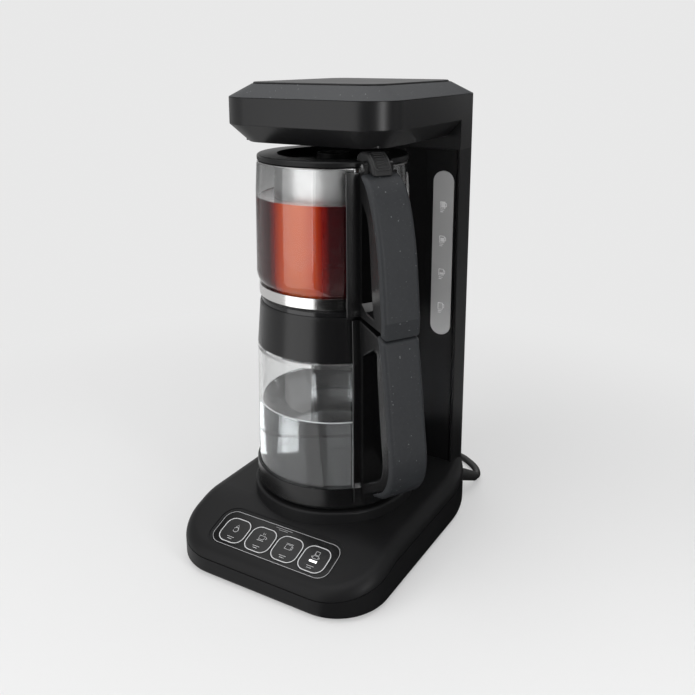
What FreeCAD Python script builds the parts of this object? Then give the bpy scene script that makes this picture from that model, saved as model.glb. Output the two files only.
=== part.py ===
"""Automatic tea maker: base with four push buttons, tower with a water tank, overhanging head with a
hinged filling lid, glass kettle with a teapot standing on it, and the mains lead.

Millimetres, +Z up. The origin is the middle of the base on the table, the buttons face -Y.
Each piece is written to parts/NAME.step.
"""
import FreeCAD, Part
import math
import os

V = FreeCAD.Vector
UP = V(0, 0, 1)

# ---------------------------------------------------------------- driving dimensions
FIT = 0.3                 # clearance between pieces that must not bind
GROOVE = 0.8              # visible shadow line between mouldings
WALL = 2.6                # moulded wall of the housings

FOOT_H = 2.0              # rubber feet
FOOT_R = 9.0
BASE_HALF = 98.0          # base: half width, front edge and back edge
BASE_FRONT = -100.0
BASE_BACK = 162.0
BASE_CORNER = 46.0        # front corners in plan
SIDE_END = 76.0           # the sides run straight to here, then curve in
SIDE_SWEEP = 120.0        # radius of that curve
BACK_CORNER = 34.0
SEAM_Z = 29.5             # seam between tub and cover along the sides
SEAM_DROP = 11.8          # degrees by which the seam falls towards the front
SEAM_BEND = -40.0
DECK_Z = 43.0             # flat top of the cover
DECK_BEND = -40.7         # in front of this the deck slopes down
DECK_TILT = 18.0
DECK_BLEND = 60.0         # rounding between flat top and slope
SHOULDER = 12.0           # rounding along the cover's edge
TUB_EDGE = 4.0
LIP = 1.0                 # locating lip of the tub, set in from its wall

POT_Y = 25.5              # axis of kettle and teapot
HANDLE_TURN = -30.0       # handles point this many degrees from +X
PLINTH_RISE = 10.3        # top of the plinth above the deck
SOCKET_R = 16.0

PANEL_Y = -73.0           # centre line of the buttons on the deck
BUTTON = 25.8
BUTTON_R = 8.8
BUTTON_PITCH = 27.0
BUTTON_COUNT = 4
BUTTON_FIT = 0.25
BUTTON_PROUD = 0.3
BUTTON_TRAVEL = 1.0
PANEL_HALF = 59.0         # glossy panel, in deck coordinates
PANEL_LOW = -16.0
PANEL_HIGH = 19.5
PANEL_R = 11.0
PANEL_T = 2.2
PANEL_SINK = 0.6
RIM = 3.0                 # shallow border around the panel

TOWER_STEP = 18.0         # tower and head stand in from the base's sides
TOWER_SETBACK = 10.0      # and from its back edge
TOWER_DEPTH = 40.0
TOWER_CORNER = 18.0
FRONT_SINK = 1.5          # front panel lies this far behind the side walls' edges
FRONT_HOLLOW = 3.0        # its middle is dished by this much
HOLLOW_HALF = 47.0
WINDOW_IN = 16.0          # middle of the level window from the tower's side
WINDOW_DOWN = 20.0        # its upper end below the tower's top
WINDOW_H = 156.0
WINDOW_R = 10.0

KETTLE_R = 68.6           # kettle's glass
KETTLE_TAPER = 1.2        # it gets this much slimmer up to the collar
KETTLE_H = 170.4          # without the seal on top
KETTLE_RING = 2.0         # black foot ring, wider than the glass
KETTLE_RING_H = 20.4
GLASS_T = 2.4
COLLAR_H = 38.5
COLLAR_TAPER = 2.8
SEAL_H = 5.5

TEA_R = 66.6              # teapot's glass
TEA_TAPER = 2.2
TEA_H = 113.7
TEA_RING_H = 9.8
INFUSER_GAP = 16.6        # between the infuser and the pot's widest part
INFUSER_H = 81.5
LID_LIFT = 1.5            # the lid's flange above the pot's mouth
LID_FLANGE = 5.0

HEAD_GAP = 9.5            # head above the teapot's lid
HEAD_OVER = 143.0         # overhang in front of the tower
HEAD_CORNER = 30.0
BELLY_H = 15.0            # tapered underside
BELLY_INSET = 14.0
FACE_H = 22.0             # upright face
BAND_H = 10.5             # sloping band between face and filling lid
BAND_INSET = 18.0
LID_T = 3.0
LID_CORNER = 18.0

CORD_D = 7.0
COIL_X, COIL_Y = -24.0, 212.0
COIL_R = 38.5             # middle of the cord's turns

# ---------------------------------------------------------------- places that follow
TOWER_HALF = BASE_HALF - TOWER_STEP
TOWER_BACK = BASE_BACK - TOWER_SETBACK
TOWER_FRONT = TOWER_BACK - TOWER_DEPTH
PLINTH_Z = DECK_Z + PLINTH_RISE
KETTLE_LOW = PLINTH_Z + FIT
KETTLE_RING_R = KETTLE_R + KETTLE_RING
KETTLE_RING_TOP = KETTLE_LOW + KETTLE_RING_H
PLINTH_R = KETTLE_RING_R + 2.4
KETTLE_NECK_R = KETTLE_R - KETTLE_TAPER
COLLAR_R = KETTLE_NECK_R - COLLAR_TAPER
COLLAR_TOP = KETTLE_LOW + KETTLE_H
COLLAR_LOW = COLLAR_TOP - COLLAR_H
SEAL_TOP = COLLAR_TOP + SEAL_H
TEA_LOW = SEAL_TOP + FIT
TEA_RING_R = TEA_R - 1.8
TEA_RING_TOP = TEA_LOW + TEA_RING_H
TEA_MOUTH_R = TEA_R - TEA_TAPER
TEA_TOP = TEA_LOW + TEA_H
INFUSER_R = TEA_R - INFUSER_GAP
INFUSER_LOW = TEA_TOP - INFUSER_H
LID_LOW = TEA_TOP + LID_LIFT
LID_TOP = LID_LOW + LID_FLANGE
HEAD_BELLY = LID_TOP + HEAD_GAP
HEAD_LOW = HEAD_BELLY + BELLY_H
HEAD_HIGH = HEAD_LOW + FACE_H
BAND_TOP = HEAD_HIGH + BAND_H
TOWER_TOP = HEAD_LOW - 26.5
HEAD_FRONT = TOWER_FRONT - HEAD_OVER
WINDOW_X = TOWER_HALF - WINDOW_IN
WINDOW_HIGH = TOWER_TOP - WINDOW_DOWN
WINDOW_LOW = WINDOW_HIGH - WINDOW_H
FAR = 500.0               # longer than anything here, for trimming


# ---------------------------------------------------------------- helpers
def wire(steps, at):
    """Closed wire: (a, b) is a straight run, (ma, mb, a, b) an arc through (ma, mb), and a list of
    points a smooth curve that starts at its first one."""
    edges = []
    here = steps[0][-2:]
    for step in steps[1:] + [steps[0]]:
        if isinstance(step, list):
            if math.dist(here, step[0]) > 1e-6:
                edges.append(Part.makeLine(at(*here), at(*step[0])))
            curve = Part.BSplineCurve()
            curve.interpolate([at(*point) for point in step])
            edges.append(curve.toShape())
            here = step[-1]
            continue
        there = step[-2:]
        if len(step) == 4:
            edges.append(Part.Arc(at(*here), at(*step[:2]), at(*there)).toShape())
        elif math.dist(here, there) > 1e-6:
            edges.append(Part.makeLine(at(*here), at(*there)))
        here = there
    return Part.Wire(edges)


def lathe(steps):
    """Turned solid about the Z axis from a profile of (radius, height)."""
    return Part.Face(wire(steps, lambda r, z: V(r, 0, z))).revolve(V(), UP, 360)


def side(steps, half):
    """Plate from a profile of (x, z), half its thickness each side of y = 0."""
    face = Part.Face(wire(steps, lambda x, z: V(x, -half, z)))
    return face.extrude(V(0, 2 * half, 0))


def box(x0, x1, y0, y1, z0, z1):
    return Part.makeBox(x1 - x0, y1 - y0, z1 - z0, V(x0, y0, z0))


def rod(x, y, r, z0, z1):
    return Part.makeCylinder(r, z1 - z0, V(x, y, z0))


def corners(x0, x1, y0, y1, front, back, z):
    """Wire of a rectangle with rounded corners, front radius at y0 and back radius at y1."""
    f, b = front, back
    k = 1 - math.sqrt(0.5)
    return wire([(x0 + f, y0), (x1 - f, y0), (x1 - k * f, y0 + k * f, x1, y0 + f), (x1, y1 - b),
                 (x1 - k * b, y1 - k * b, x1 - b, y1), (x0 + b, y1),
                 (x0 + k * b, y1 - k * b, x0, y1 - b), (x0, y0 + f),
                 (x0 + k * f, y0 + k * f, x0 + f, y0)], lambda x, y: V(x, y, z))


def pad(outline, height):
    return Part.Face(outline).extrude(V(0, 0, height))


def rounded(x0, x1, y0, y1, r, z0, z1):
    return pad(corners(x0, x1, y0, y1, r, r, z0), z1 - z0)


def join(shapes):
    whole = shapes[0].multiFuse(shapes[1:]) if len(shapes) > 1 else shapes[0]
    return whole.removeSplitter()


def half_cut(steps):
    """Wide block across X from a profile of (y, z), for trimming."""
    face = Part.Face(wire(steps, lambda y, z: V(-FAR, y, z)))
    return face.extrude(V(2 * FAR, 0, 0))


def round_edges(shape, radius, wanted):
    """Fillet the edges whose middle point satisfies wanted(point)."""
    picked = [e for e in shape.Edges if wanted(e.valueAt((e.FirstParameter + e.LastParameter) / 2))]
    return shape.makeFillet(radius, picked)


def on_pots(shape):
    """From the pots' own frame, with the handle along +X, to the machine's."""
    shape = shape.copy()
    shape.rotate(V(), UP, HANDLE_TURN)
    shape.translate(V(0, POT_Y, 0))
    return shape


def deck_height(y):
    return DECK_Z - max(0.0, DECK_BEND - y) * math.tan(math.radians(DECK_TILT))


def on_deck(shape):
    """From the control panel's own frame, z = 0 on the deck's surface, to the machine's."""
    shape = shape.copy()
    shape.rotate(V(), V(1, 0, 0), DECK_TILT)
    shape.translate(V(0, PANEL_Y, deck_height(PANEL_Y)))
    return shape


def tube(points, radius, bore=0.0, bend=0.45):
    """Straight runs joined by tangent arcs through a list of points; returns the solid and its length."""
    def reach(a, b, c):
        return bend * min((b - a).Length, (c - b).Length)
    edges, radii, here = [], [], points[0]
    for a, b, c in zip(points, points[1:], points[2:]):
        into, out = (b - a).normalize(), (c - b).normalize()
        cut = reach(a, b, c)
        start, end = b - into * cut, b + out * cut
        turn = into.getAngle(out)
        radii.append(cut / math.tan(turn / 2))
        inward = (out - into).normalize()
        middle = b + inward * (radii[-1] / math.cos(turn / 2) - radii[-1])
        if (start - here).Length > 1e-6:
            edges.append(Part.makeLine(here, start))
        edges.append(Part.Arc(start, middle, end).toShape())
        here = end
    edges.append(Part.makeLine(here, points[-1]))
    spine = Part.Wire(edges)
    along = points[1] - points[0]
    solid = spine.makePipeShell([Part.Wire(Part.makeCircle(radius, points[0], along))], True, False)
    if bore:
        inner = spine.makePipeShell([Part.Wire(Part.makeCircle(bore, points[0], along))], True, False)
        solid = solid.cut(inner)
    return solid, spine.Length, radii


parts = {}


def piece(name, shape):
    parts[name] = shape


# ---------------------------------------------------------------- base: tub and cover
def base_outline(inset, z):
    """Plan of the base, set in by inset: straight front and sides, long curve to the back corners."""
    half = BASE_HALF - inset
    front, back = BASE_FRONT + inset, BASE_BACK - inset
    corner, sweep, heel = BASE_CORNER - inset, SIDE_SWEEP - inset, BACK_CORNER - inset
    sweep_x = BASE_HALF - SIDE_SWEEP
    heel_y = BASE_BACK - BACK_CORNER
    rise = (heel_y - SIDE_END) / (SIDE_SWEEP - BACK_CORNER)
    turn = math.asin(rise)
    heel_x = sweep_x + (SIDE_SWEEP - BACK_CORNER) * math.cos(turn)

    def around(cx, cy, r, start, end):
        mid = (start + end) / 2
        return (cx + r * math.cos(mid), cy + r * math.sin(mid), cx + r * math.cos(end), cy + r * math.sin(end))

    q = math.pi / 2
    cx, cy = BASE_HALF - BASE_CORNER, BASE_FRONT + BASE_CORNER
    return wire([(-cx, front), (cx, front), around(cx, cy, corner, -q, 0), (half, SIDE_END),
                 around(sweep_x, SIDE_END, sweep, 0, turn), around(heel_x, heel_y, heel, turn, q),
                 (-heel_x, back), around(-heel_x, heel_y, heel, q, 2 * q - turn),
                 around(-sweep_x, SIDE_END, sweep, 2 * q - turn, 2 * q), (-half, cy),
                 around(-cx, cy, corner, 2 * q, 3 * q)], lambda x, y: V(x, y, z))


def above_seam(lift):
    """Everything above the seam between tub and cover, raised by lift."""
    front = -FAR
    fall = (SEAM_BEND - front) * math.tan(math.radians(SEAM_DROP))
    return half_cut([(FAR, SEAM_Z + lift), (SEAM_BEND, SEAM_Z + lift), (front, SEAM_Z + lift - fall),
                     (front, FAR), (FAR, FAR)])


def cover_body(inset, sink):
    """Body under the deck's surface, set in and sunk, with its edge rounded all along."""
    body = pad(base_outline(inset, 0), DECK_Z - sink)
    body = body.cut(half_cut([(DECK_BEND, DECK_Z - sink), (-FAR, deck_height(-FAR) - sink), (-FAR, FAR),
                              (DECK_BEND, FAR)]))
    body = round_edges(body, DECK_BLEND, lambda p: abs(p.y - DECK_BEND) < 0.1 and abs(p.x) < 1)
    top = []
    for edge in body.Edges:
        p = edge.valueAt((edge.FirstParameter + edge.LastParameter) / 2)
        faces = body.ancestorsOfType(edge, Part.Face)
        tilts = sorted(abs(f.normalAt(*f.Surface.parameter(p)).z) for f in faces)
        if p.z > 5 and len(tilts) == 2 and tilts[0] < 0.01 and tilts[1] > 0.5:
            top.append(edge)
    return body.makeFillet(SHOULDER - inset, top)


cover_outer = cover_body(0, 0)
base_screw_spots = [(s * (BASE_HALF - inset), y) for inset, y in ((22, -62), (14, 30), (50, BASE_BACK - 22))
                    for s in (-1, 1)]
floor_top = FOOT_H + WALL
screw_r, screw_head_r, screw_head_h = 1.5, 2.9, 1.7
boss_r = 4.2

tub = round_edges(pad(base_outline(0, FOOT_H), 60), TUB_EDGE, lambda p: abs(p.z - FOOT_H) < 0.01)
tub = tub.cut(pad(base_outline(WALL, floor_top), 60)).cut(above_seam(-GROOVE / 2))
lip = pad(base_outline(LIP, floor_top), 60).cut(pad(base_outline(WALL, floor_top), 60))
tub = join([tub, lip.cut(above_seam(GROOVE / 2))])
for x, y in base_screw_spots:
    tub = tub.cut(rod(x, y, screw_r + FIT, 0, floor_top + 1))
    tub = tub.cut(rod(x, y, screw_head_r + FIT, 0, FOOT_H + screw_head_h))

plinth = rod(0, POT_Y, PLINTH_R, DECK_Z - 20, PLINTH_Z)
plinth = round_edges(plinth, 2.0, lambda p: abs(p.z - PLINTH_Z) < 0.01)
cover = join([cover_outer, plinth])
hollow = join([cover_body(WALL, WALL), rod(0, POT_Y, PLINTH_R - WALL, DECK_Z - 20, PLINTH_Z - WALL)])
well_half, well_low, well_high = PANEL_HALF + RIM, PANEL_LOW - RIM, PANEL_HIGH + RIM
frame_t = 6.0
opening_half, opening_high = 54.6, 14.6
board_t, board_z = 1.6, -12.0
post_spots = [(sx * 58.2, y) for sx in (-1, 1) for y in (well_low + 3.4, well_high - 3.8)]

cover = cover.common(above_seam(GROOVE / 2)).cut(hollow)

# the deck's well: a frame under the panel, the panel's pocket and the opening for the buttons
well = on_deck(rounded(-well_half, well_half, well_low, well_high, PANEL_R + RIM, -frame_t, -1.0))
opening = on_deck(box(-opening_half, opening_half, -opening_high, opening_high, -20, 5))
border = on_deck(rounded(-well_half, well_half, well_low, well_high, PANEL_R + RIM, -PANEL_SINK, 5))
pocket = on_deck(rounded(-PANEL_HALF - FIT, PANEL_HALF + FIT, PANEL_LOW - FIT, PANEL_HIGH + FIT,
                         PANEL_R + FIT, -PANEL_SINK - PANEL_T, 5))
posts = [on_deck(rod(x, y, 2.4, board_z + board_t, -frame_t + 0.5)) for x, y in post_spots]
bosses = [rod(x, y, boss_r, floor_top, deck_height(y - boss_r) - WALL / 2) for x, y in base_screw_spots]
tower_mouth = box(20, TOWER_HALF - 20, TOWER_FRONT + 8, TOWER_BACK - 8, SEAM_Z, PLINTH_Z)
cover = join([cover, well] + posts + bosses)
for hole in [opening, border, pocket, tower_mouth, rod(0, POT_Y, SOCKET_R + FIT, SEAM_Z, FAR)]:
    cover = cover.cut(hole)
for x, y in base_screw_spots:
    cover = cover.cut(rod(x, y, screw_r + 0.1, 0, floor_top + 12))
for x, y in post_spots:
    cover = cover.cut(on_deck(rod(x, y, 1.1, board_z - 1, -frame_t - 0.6)))
piece("base_tub", tub)
piece("base_cover", cover)

foot_spots = [(s * (BASE_HALF - 30), y) for y in (BASE_FRONT + 28, BASE_BACK - 34) for s in (-1, 1)]
piece("rubber_feet", Part.Compound([rod(x, y, FOOT_R, 0, FOOT_H) for x, y in foot_spots]))
screws = []
for x, y in base_screw_spots:
    head = rod(x, y, screw_head_r, FOOT_H + 0.1, FOOT_H + screw_head_h)
    screws.append(head.fuse(rod(x, y, screw_r, FOOT_H + 0.5, floor_top + 11)))
piece("base_screws", Part.Compound(screws))

# ---------------------------------------------------------------- base: pot connector
socket = rod(0, POT_Y, SOCKET_R, PLINTH_Z - 12, PLINTH_Z)
socket = socket.fuse(rod(0, POT_Y, SOCKET_R + 4, PLINTH_Z - 14, PLINTH_Z - WALL))
ring_radii = (5.0, 10.5)
ring_w, ring_t = 1.6, 1.5
contacts = []
for r in ring_radii:
    seat = rod(0, POT_Y, r + ring_w, PLINTH_Z - ring_t, PLINTH_Z + 1).cut(rod(0, POT_Y, r, 0, FAR))
    socket = socket.cut(seat)
    contacts.append(seat.common(rod(0, POT_Y, SOCKET_R, 0, PLINTH_Z)))
piece("power_socket", socket.removeSplitter())
piece("socket_contacts", Part.Compound(contacts))

# ---------------------------------------------------------------- base: control panel
board = rounded(-61, 61, well_low + 0.6, well_high - 0.8, 2, board_z, board_z + board_t)
board_screws = []
for x, y in post_spots:
    board = board.cut(rod(x, y, 1.3, board_z - 1, board_z + 3))
    stem = rod(x, y, 1.0, board_z - 0.4, -frame_t - 1.2)
    board_screws.append(on_deck(stem.fuse(rod(x, y, 2.0, board_z - 1.6, board_z))))
panel = rounded(-PANEL_HALF, PANEL_HALF, PANEL_LOW, PANEL_HIGH, PANEL_R, -PANEL_SINK - PANEL_T, -PANEL_SINK)
button_spots = [(k - (BUTTON_COUNT - 1) / 2) * BUTTON_PITCH for k in range(BUTTON_COUNT)]
half = BUTTON / 2
switch_top = board_z + board_t + 3.2
stem_end = switch_top + 0.9 + BUTTON_TRAVEL + 0.15
switches = []
light_slot = box(-3.6, 3.6, -3.2, -1.2, -0.9, 2)
for number, x in enumerate(button_spots):
    hole = half + BUTTON_FIT
    panel = panel.cut(rounded(x - hole, x + hole, -hole, hole, BUTTON_R + BUTTON_FIT, -9, 9))
    cap = rounded(-half, half, -half, half, BUTTON_R, -PANEL_SINK - PANEL_T - 0.6, BUTTON_PROUD - PANEL_SINK)
    cap = round_edges(cap, 0.6, lambda p: abs(p.z - BUTTON_PROUD + PANEL_SINK) < 0.01)
    flange = rounded(-11.5, 11.5, -half - 1.0, half + 1.0, 3, -PANEL_SINK - PANEL_T - 1.8,
                     -PANEL_SINK - PANEL_T - FIT)
    stem = rod(0, 0, 2.4, stem_end, -PANEL_SINK - PANEL_T - 1)
    button = join([cap, flange, stem])
    if number == BUTTON_COUNT - 1:
        button = button.cut(light_slot)
        lens = light_slot.common(box(-9, 9, -9, 9, -9, BUTTON_PROUD - PANEL_SINK))
        lens.translate(V(x, 0, 0))
        piece("indicator_lens", on_deck(lens))
    button.translate(V(x, 0, 0))
    piece("button_%d" % (number + 1), on_deck(button))
    body = box(x - 3, x + 3, -3, 3, board_z + board_t, switch_top)
    switches.append(on_deck(body.fuse(rod(x, 0, 1.6, switch_top - 0.5, switch_top + 0.9))))
piece("control_board", on_deck(board))
piece("board_screws", Part.Compound(board_screws))
piece("tact_switches", Part.Compound(switches))
piece("panel_plate", on_deck(panel))

# ---------------------------------------------------------------- tower
cover_clear = join([cover_outer, plinth])
tower_low = 20.0
tower = box(-TOWER_HALF, TOWER_HALF, TOWER_FRONT, FAR, tower_low, TOWER_TOP)
tower = tower.common(rounded(-TOWER_HALF, TOWER_HALF, 0, TOWER_BACK, TOWER_CORNER, tower_low, TOWER_TOP))
tower = tower.cut(rounded(-TOWER_HALF + WALL, TOWER_HALF - WALL, 0, TOWER_BACK - WALL, TOWER_CORNER - WALL,
                          0, FAR))
tower = round_edges(tower, 0.8, lambda p: abs(p.y - TOWER_FRONT) < 0.01 and abs(p.z - TOWER_TOP / 2) < 40)
shelf_z, shelf_t = 114.0, 3.5
riser_x = -TOWER_HALF + 11.0
tank_x0, tank_x1 = -TOWER_HALF + 20.0, TOWER_HALF - WALL - 1.6
tank_y0, tank_y1 = TOWER_FRONT + 9.0, TOWER_BACK - WALL - 1.2
riser_y = (tank_y0 + tank_y1) / 2
shelves = [box(-TOWER_HALF + WALL / 2, tank_x0 + 8, tank_y0, tank_y1, shelf_z, shelf_z + shelf_t),
           box(tank_x1 - 8, TOWER_HALF - WALL / 2, tank_y0, tank_y1, shelf_z, shelf_z + shelf_t)]
mid_wall = TOWER_HALF - WALL / 2
guide = rounded(-mid_wall, mid_wall, 0, TOWER_BACK - WALL / 2, TOWER_CORNER - WALL / 2, 0, FAR)
shelves = [s.common(guide) for s in shelves]
rail_y0 = TOWER_FRONT + FRONT_SINK + WALL + FIT
rails = [box(s * (TOWER_HALF - WALL / 2) - (2 + WALL / 2 if s > 0 else 0),
             s * (TOWER_HALF - WALL / 2) + (0 if s > 0 else 2 + WALL / 2),
             rail_y0, rail_y0 + 2, DECK_Z + 6, TOWER_TOP) for s in (-1, 1)]
tower = join([tower] + shelves + rails).cut(cover_clear)
tower = tower.cut(rod(riser_x, riser_y, 5, shelf_z - 1, shelf_z + shelf_t + 1))
piece("tower_shell", tower)

panel_half = TOWER_HALF - WALL - GROOVE
y0, y1 = TOWER_FRONT + FRONT_SINK, TOWER_FRONT + FRONT_SINK + WALL
front = Part.Face(wire([(-panel_half, y0), (-HOLLOW_HALF, y0), (0, y0 + FRONT_HOLLOW, HOLLOW_HALF, y0),
                        (panel_half, y0), (panel_half, y1), (HOLLOW_HALF, y1),
                        (0, y1 + FRONT_HOLLOW, -HOLLOW_HALF, y1), (-panel_half, y1)],
                       lambda x, y: V(x, y, DECK_Z - 6))).extrude(V(0, 0, TOWER_TOP - DECK_Z + 5.5))


def pill(r, y0, y1):
    """Upright slot shape through Y at the level window."""
    low, high = WINDOW_LOW + WINDOW_R, WINDOW_HIGH - WINDOW_R
    steps = [(WINDOW_X + r, low), (WINDOW_X + r, high), (WINDOW_X, high + r, WINDOW_X - r, high),
             (WINDOW_X - r, low), (WINDOW_X, low - r, WINDOW_X + r, low)]
    return Part.Face(wire(steps, lambda x, z: V(x, y0, z))).extrude(V(0, y1 - y0, 0))


front = front.cut(pill(WINDOW_R + 0.2, TOWER_FRONT, TOWER_BACK)).cut(cover_clear)
piece("tower_front", front)
lens = pill(WINDOW_R, y0 - 0.6, y1 - 0.6)
lens = lens.fuse(pill(WINDOW_R - 1.5, y1 - 1, y1 + 1.2)).removeSplitter()
piece("level_window", lens)

tank_low, tank_top, tank_t = shelf_z + shelf_t, TOWER_TOP - 2.5, 2.2
tank_r, tank_back_r = 6.0, TOWER_CORNER - WALL - 1.2
tank = pad(corners(tank_x0, tank_x1, tank_y0, tank_y1, tank_r, tank_back_r, tank_low), tank_top - tank_low)
tank = tank.cut(pad(corners(tank_x0 + tank_t, tank_x1 - tank_t, tank_y0 + tank_t, tank_y1 - tank_t,
                            tank_r - tank_t, tank_back_r - tank_t, tank_low + tank_t), FAR))
outlet_x, outlet_y = tank_x0 + 20.0, riser_y
spigot_r, hose_r = 4.0, 6.0
tank = tank.fuse(rod(outlet_x, outlet_y, spigot_r, tank_low - 12, tank_low + 1))
tank = tank.cut(rod(outlet_x, outlet_y, spigot_r - 1.2, tank_low - 20, tank_low + 5)).removeSplitter()
piece("water_tank", tank)

pump_z, pump_r = DECK_Z + 31.0, 14.0
pump_x0, pump_x1 = outlet_x + 6.0, outlet_x + 58.0
pump_y = riser_y
pump = Part.makeCylinder(pump_r, pump_x1 - pump_x0, V(pump_x0, pump_y, pump_z), V(1, 0, 0))
nose = Part.makeCylinder(9, 8, V(pump_x0 - 8, pump_y, pump_z), V(1, 0, 0))
pump_body = join([pump, nose, rod(outlet_x, outlet_y, spigot_r, pump_z, pump_z + 20),
                  Part.makeCylinder(spigot_r, 8.5, V(pump_x0 - 16, pump_y, pump_z), V(1, 0, 0))])
piece("pump", pump_body)
cradle = box(pump_x0 + 8, pump_x1 - 8, pump_y - pump_r + 1, pump_y + pump_r - 1, DECK_Z, pump_z - 6)
cradle = cradle.cut(Part.makeCylinder(pump_r, FAR, V(-FAR / 2, pump_y, pump_z), V(1, 0, 0)))
cradle = cradle.cut(box(-FAR, FAR, pump_y - pump_r + 3, pump_y + pump_r - 3, DECK_Z + 2, pump_z - pump_r - 2))
piece("pump_cradle", cradle)
sleeve = rod(outlet_x, outlet_y, hose_r, pump_z + 9.5, tank_low - 3)
sleeve = sleeve.cut(rod(outlet_x, outlet_y, spigot_r, 0, FAR))
piece("suction_hose", sleeve)

nozzle_z = HEAD_BELLY - 3.0
pipe_z = HEAD_BELLY + 16.0
riser_points = [V(pump_x0 - 16, pump_y, pump_z), V(riser_x, pump_y, pump_z), V(riser_x, pump_y, pipe_z),
                V(riser_x, POT_Y, pipe_z), V(0, POT_Y, pipe_z), V(0, POT_Y, HEAD_BELLY + 7)]


def bent_pipe(points, radius, bore, bend):
    """Pipe along straight runs with arcs of one bend radius."""
    edges, here = [], points[0]
    for a, b, c in zip(points, points[1:], points[2:]):
        into, out = (b - a).normalize(), (c - b).normalize()
        turn = into.getAngle(out)
        cut = bend * math.tan(turn / 2)
        start, end = b - into * cut, b + out * cut
        middle = b + (out - into).normalize() * (bend / math.cos(turn / 2) - bend)
        edges += [Part.makeLine(here, start), Part.Arc(start, middle, end).toShape()]
        here = end
    edges.append(Part.makeLine(here, points[-1]))
    spine = Part.Wire(edges)
    along = points[1] - points[0]
    skins = [spine.makePipeShell([Part.Wire(Part.makeCircle(r, points[0], along))], True, False)
             for r in (radius, bore)]
    return skins[0].cut(skins[1])


piece("riser_pipe", bent_pipe(riser_points, 3.6, 2.2, 6.0))

# ---------------------------------------------------------------- head
def belly(inset, drop):
    """Tapered underside from the face's lower edge to the flat belly."""
    deep = TOWER_BACK + 60
    top = corners(-TOWER_HALF + inset, TOWER_HALF - inset, HEAD_FRONT + inset, deep, HEAD_CORNER - inset, 10,
                  HEAD_LOW + drop)
    low_half = TOWER_HALF - inset - BELLY_INSET
    low = corners(-low_half, low_half, HEAD_FRONT + inset + BELLY_INSET, deep, HEAD_CORNER - inset - 8, 10,
                  HEAD_BELLY + drop)
    body = Part.makeLoft([low, top], True, True)
    return body.common(box(-FAR, FAR, -FAR, TOWER_FRONT + inset, 0, FAR))


def head_body(inset, drop, top):
    plan = corners(-TOWER_HALF + inset, TOWER_HALF - inset, HEAD_FRONT + inset, TOWER_BACK - inset,
                   HEAD_CORNER - inset, TOWER_CORNER - inset, HEAD_LOW + drop)
    face = pad(plan, top - HEAD_LOW - drop)
    heel = rounded(-TOWER_HALF + inset, TOWER_HALF - inset, 0, TOWER_BACK - inset, TOWER_CORNER - inset,
                   TOWER_TOP - (1 if inset else 0), HEAD_LOW + drop + 1)
    heel = heel.common(box(-FAR, FAR, TOWER_FRONT + inset, FAR, 0, FAR))
    return join([face, heel, belly(inset, drop)])


def on_outline(p, z):
    """Whether a point is on the head's edge at a height, in front of the tower."""
    return abs(p.z - z) < 0.01 and p.y < TOWER_FRONT - 1


head = head_body(0, 0, HEAD_HIGH - GROOVE / 4)
head = round_edges(head, 1.2, lambda p: on_outline(p, HEAD_LOW) or on_outline(p, HEAD_BELLY))
head = head.cut(head_body(WALL, WALL, HEAD_HIGH + 20))
nozzle_hole_r = 11.0
head = head.cut(rod(0, POT_Y, nozzle_hole_r + FIT, HEAD_BELLY - 1, HEAD_LOW))
piece("head_shell", head)

lid_half = TOWER_HALF - BAND_INSET
lid_front, lid_back = HEAD_FRONT + BAND_INSET, TOWER_BACK - 12.0
lid_top = BAND_TOP + 1.5
ledge = 4.0


def band_skin(inset, low, top):
    """Frustum of the sloping band between the head's outline and the filling lid."""
    wide = corners(-TOWER_HALF + inset, TOWER_HALF - inset, HEAD_FRONT + inset, TOWER_BACK - inset,
                   HEAD_CORNER - inset, TOWER_CORNER - inset, low)
    narrow = corners(-lid_half + inset - 1, lid_half - inset + 1, lid_front + inset - 1, lid_back - inset + 1,
                     LID_CORNER + 1, LID_CORNER + 1, top)
    return Part.makeLoft([wide, narrow], True, True)


band = band_skin(0, HEAD_HIGH + GROOVE / 4, BAND_TOP)
band = band.cut(band_skin(WALL, HEAD_HIGH - 1, BAND_TOP - LID_T - 2.0))
seat = rounded(-lid_half - FIT, lid_half + FIT, lid_front - FIT, lid_back + FIT, LID_CORNER + FIT,
               BAND_TOP - LID_T - 0.5, BAND_TOP + 5)
mouth = rounded(-lid_half + ledge, lid_half - ledge, lid_front + ledge, lid_back - ledge, LID_CORNER - ledge,
                HEAD_LOW, FAR)
barrel_r = 4.0
axis_y, axis_z = lid_back - barrel_r, lid_top - barrel_r
pin_r, pin_fit = 1.5, 0.08
ears, ear_half = (27.0 - lid_half, lid_half - 27.0), 3.0


def across(r, x0, x1, y=axis_y, z=axis_z):
    return Part.makeCylinder(r, x1 - x0, V(x0, y, z), V(1, 0, 0))


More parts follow.
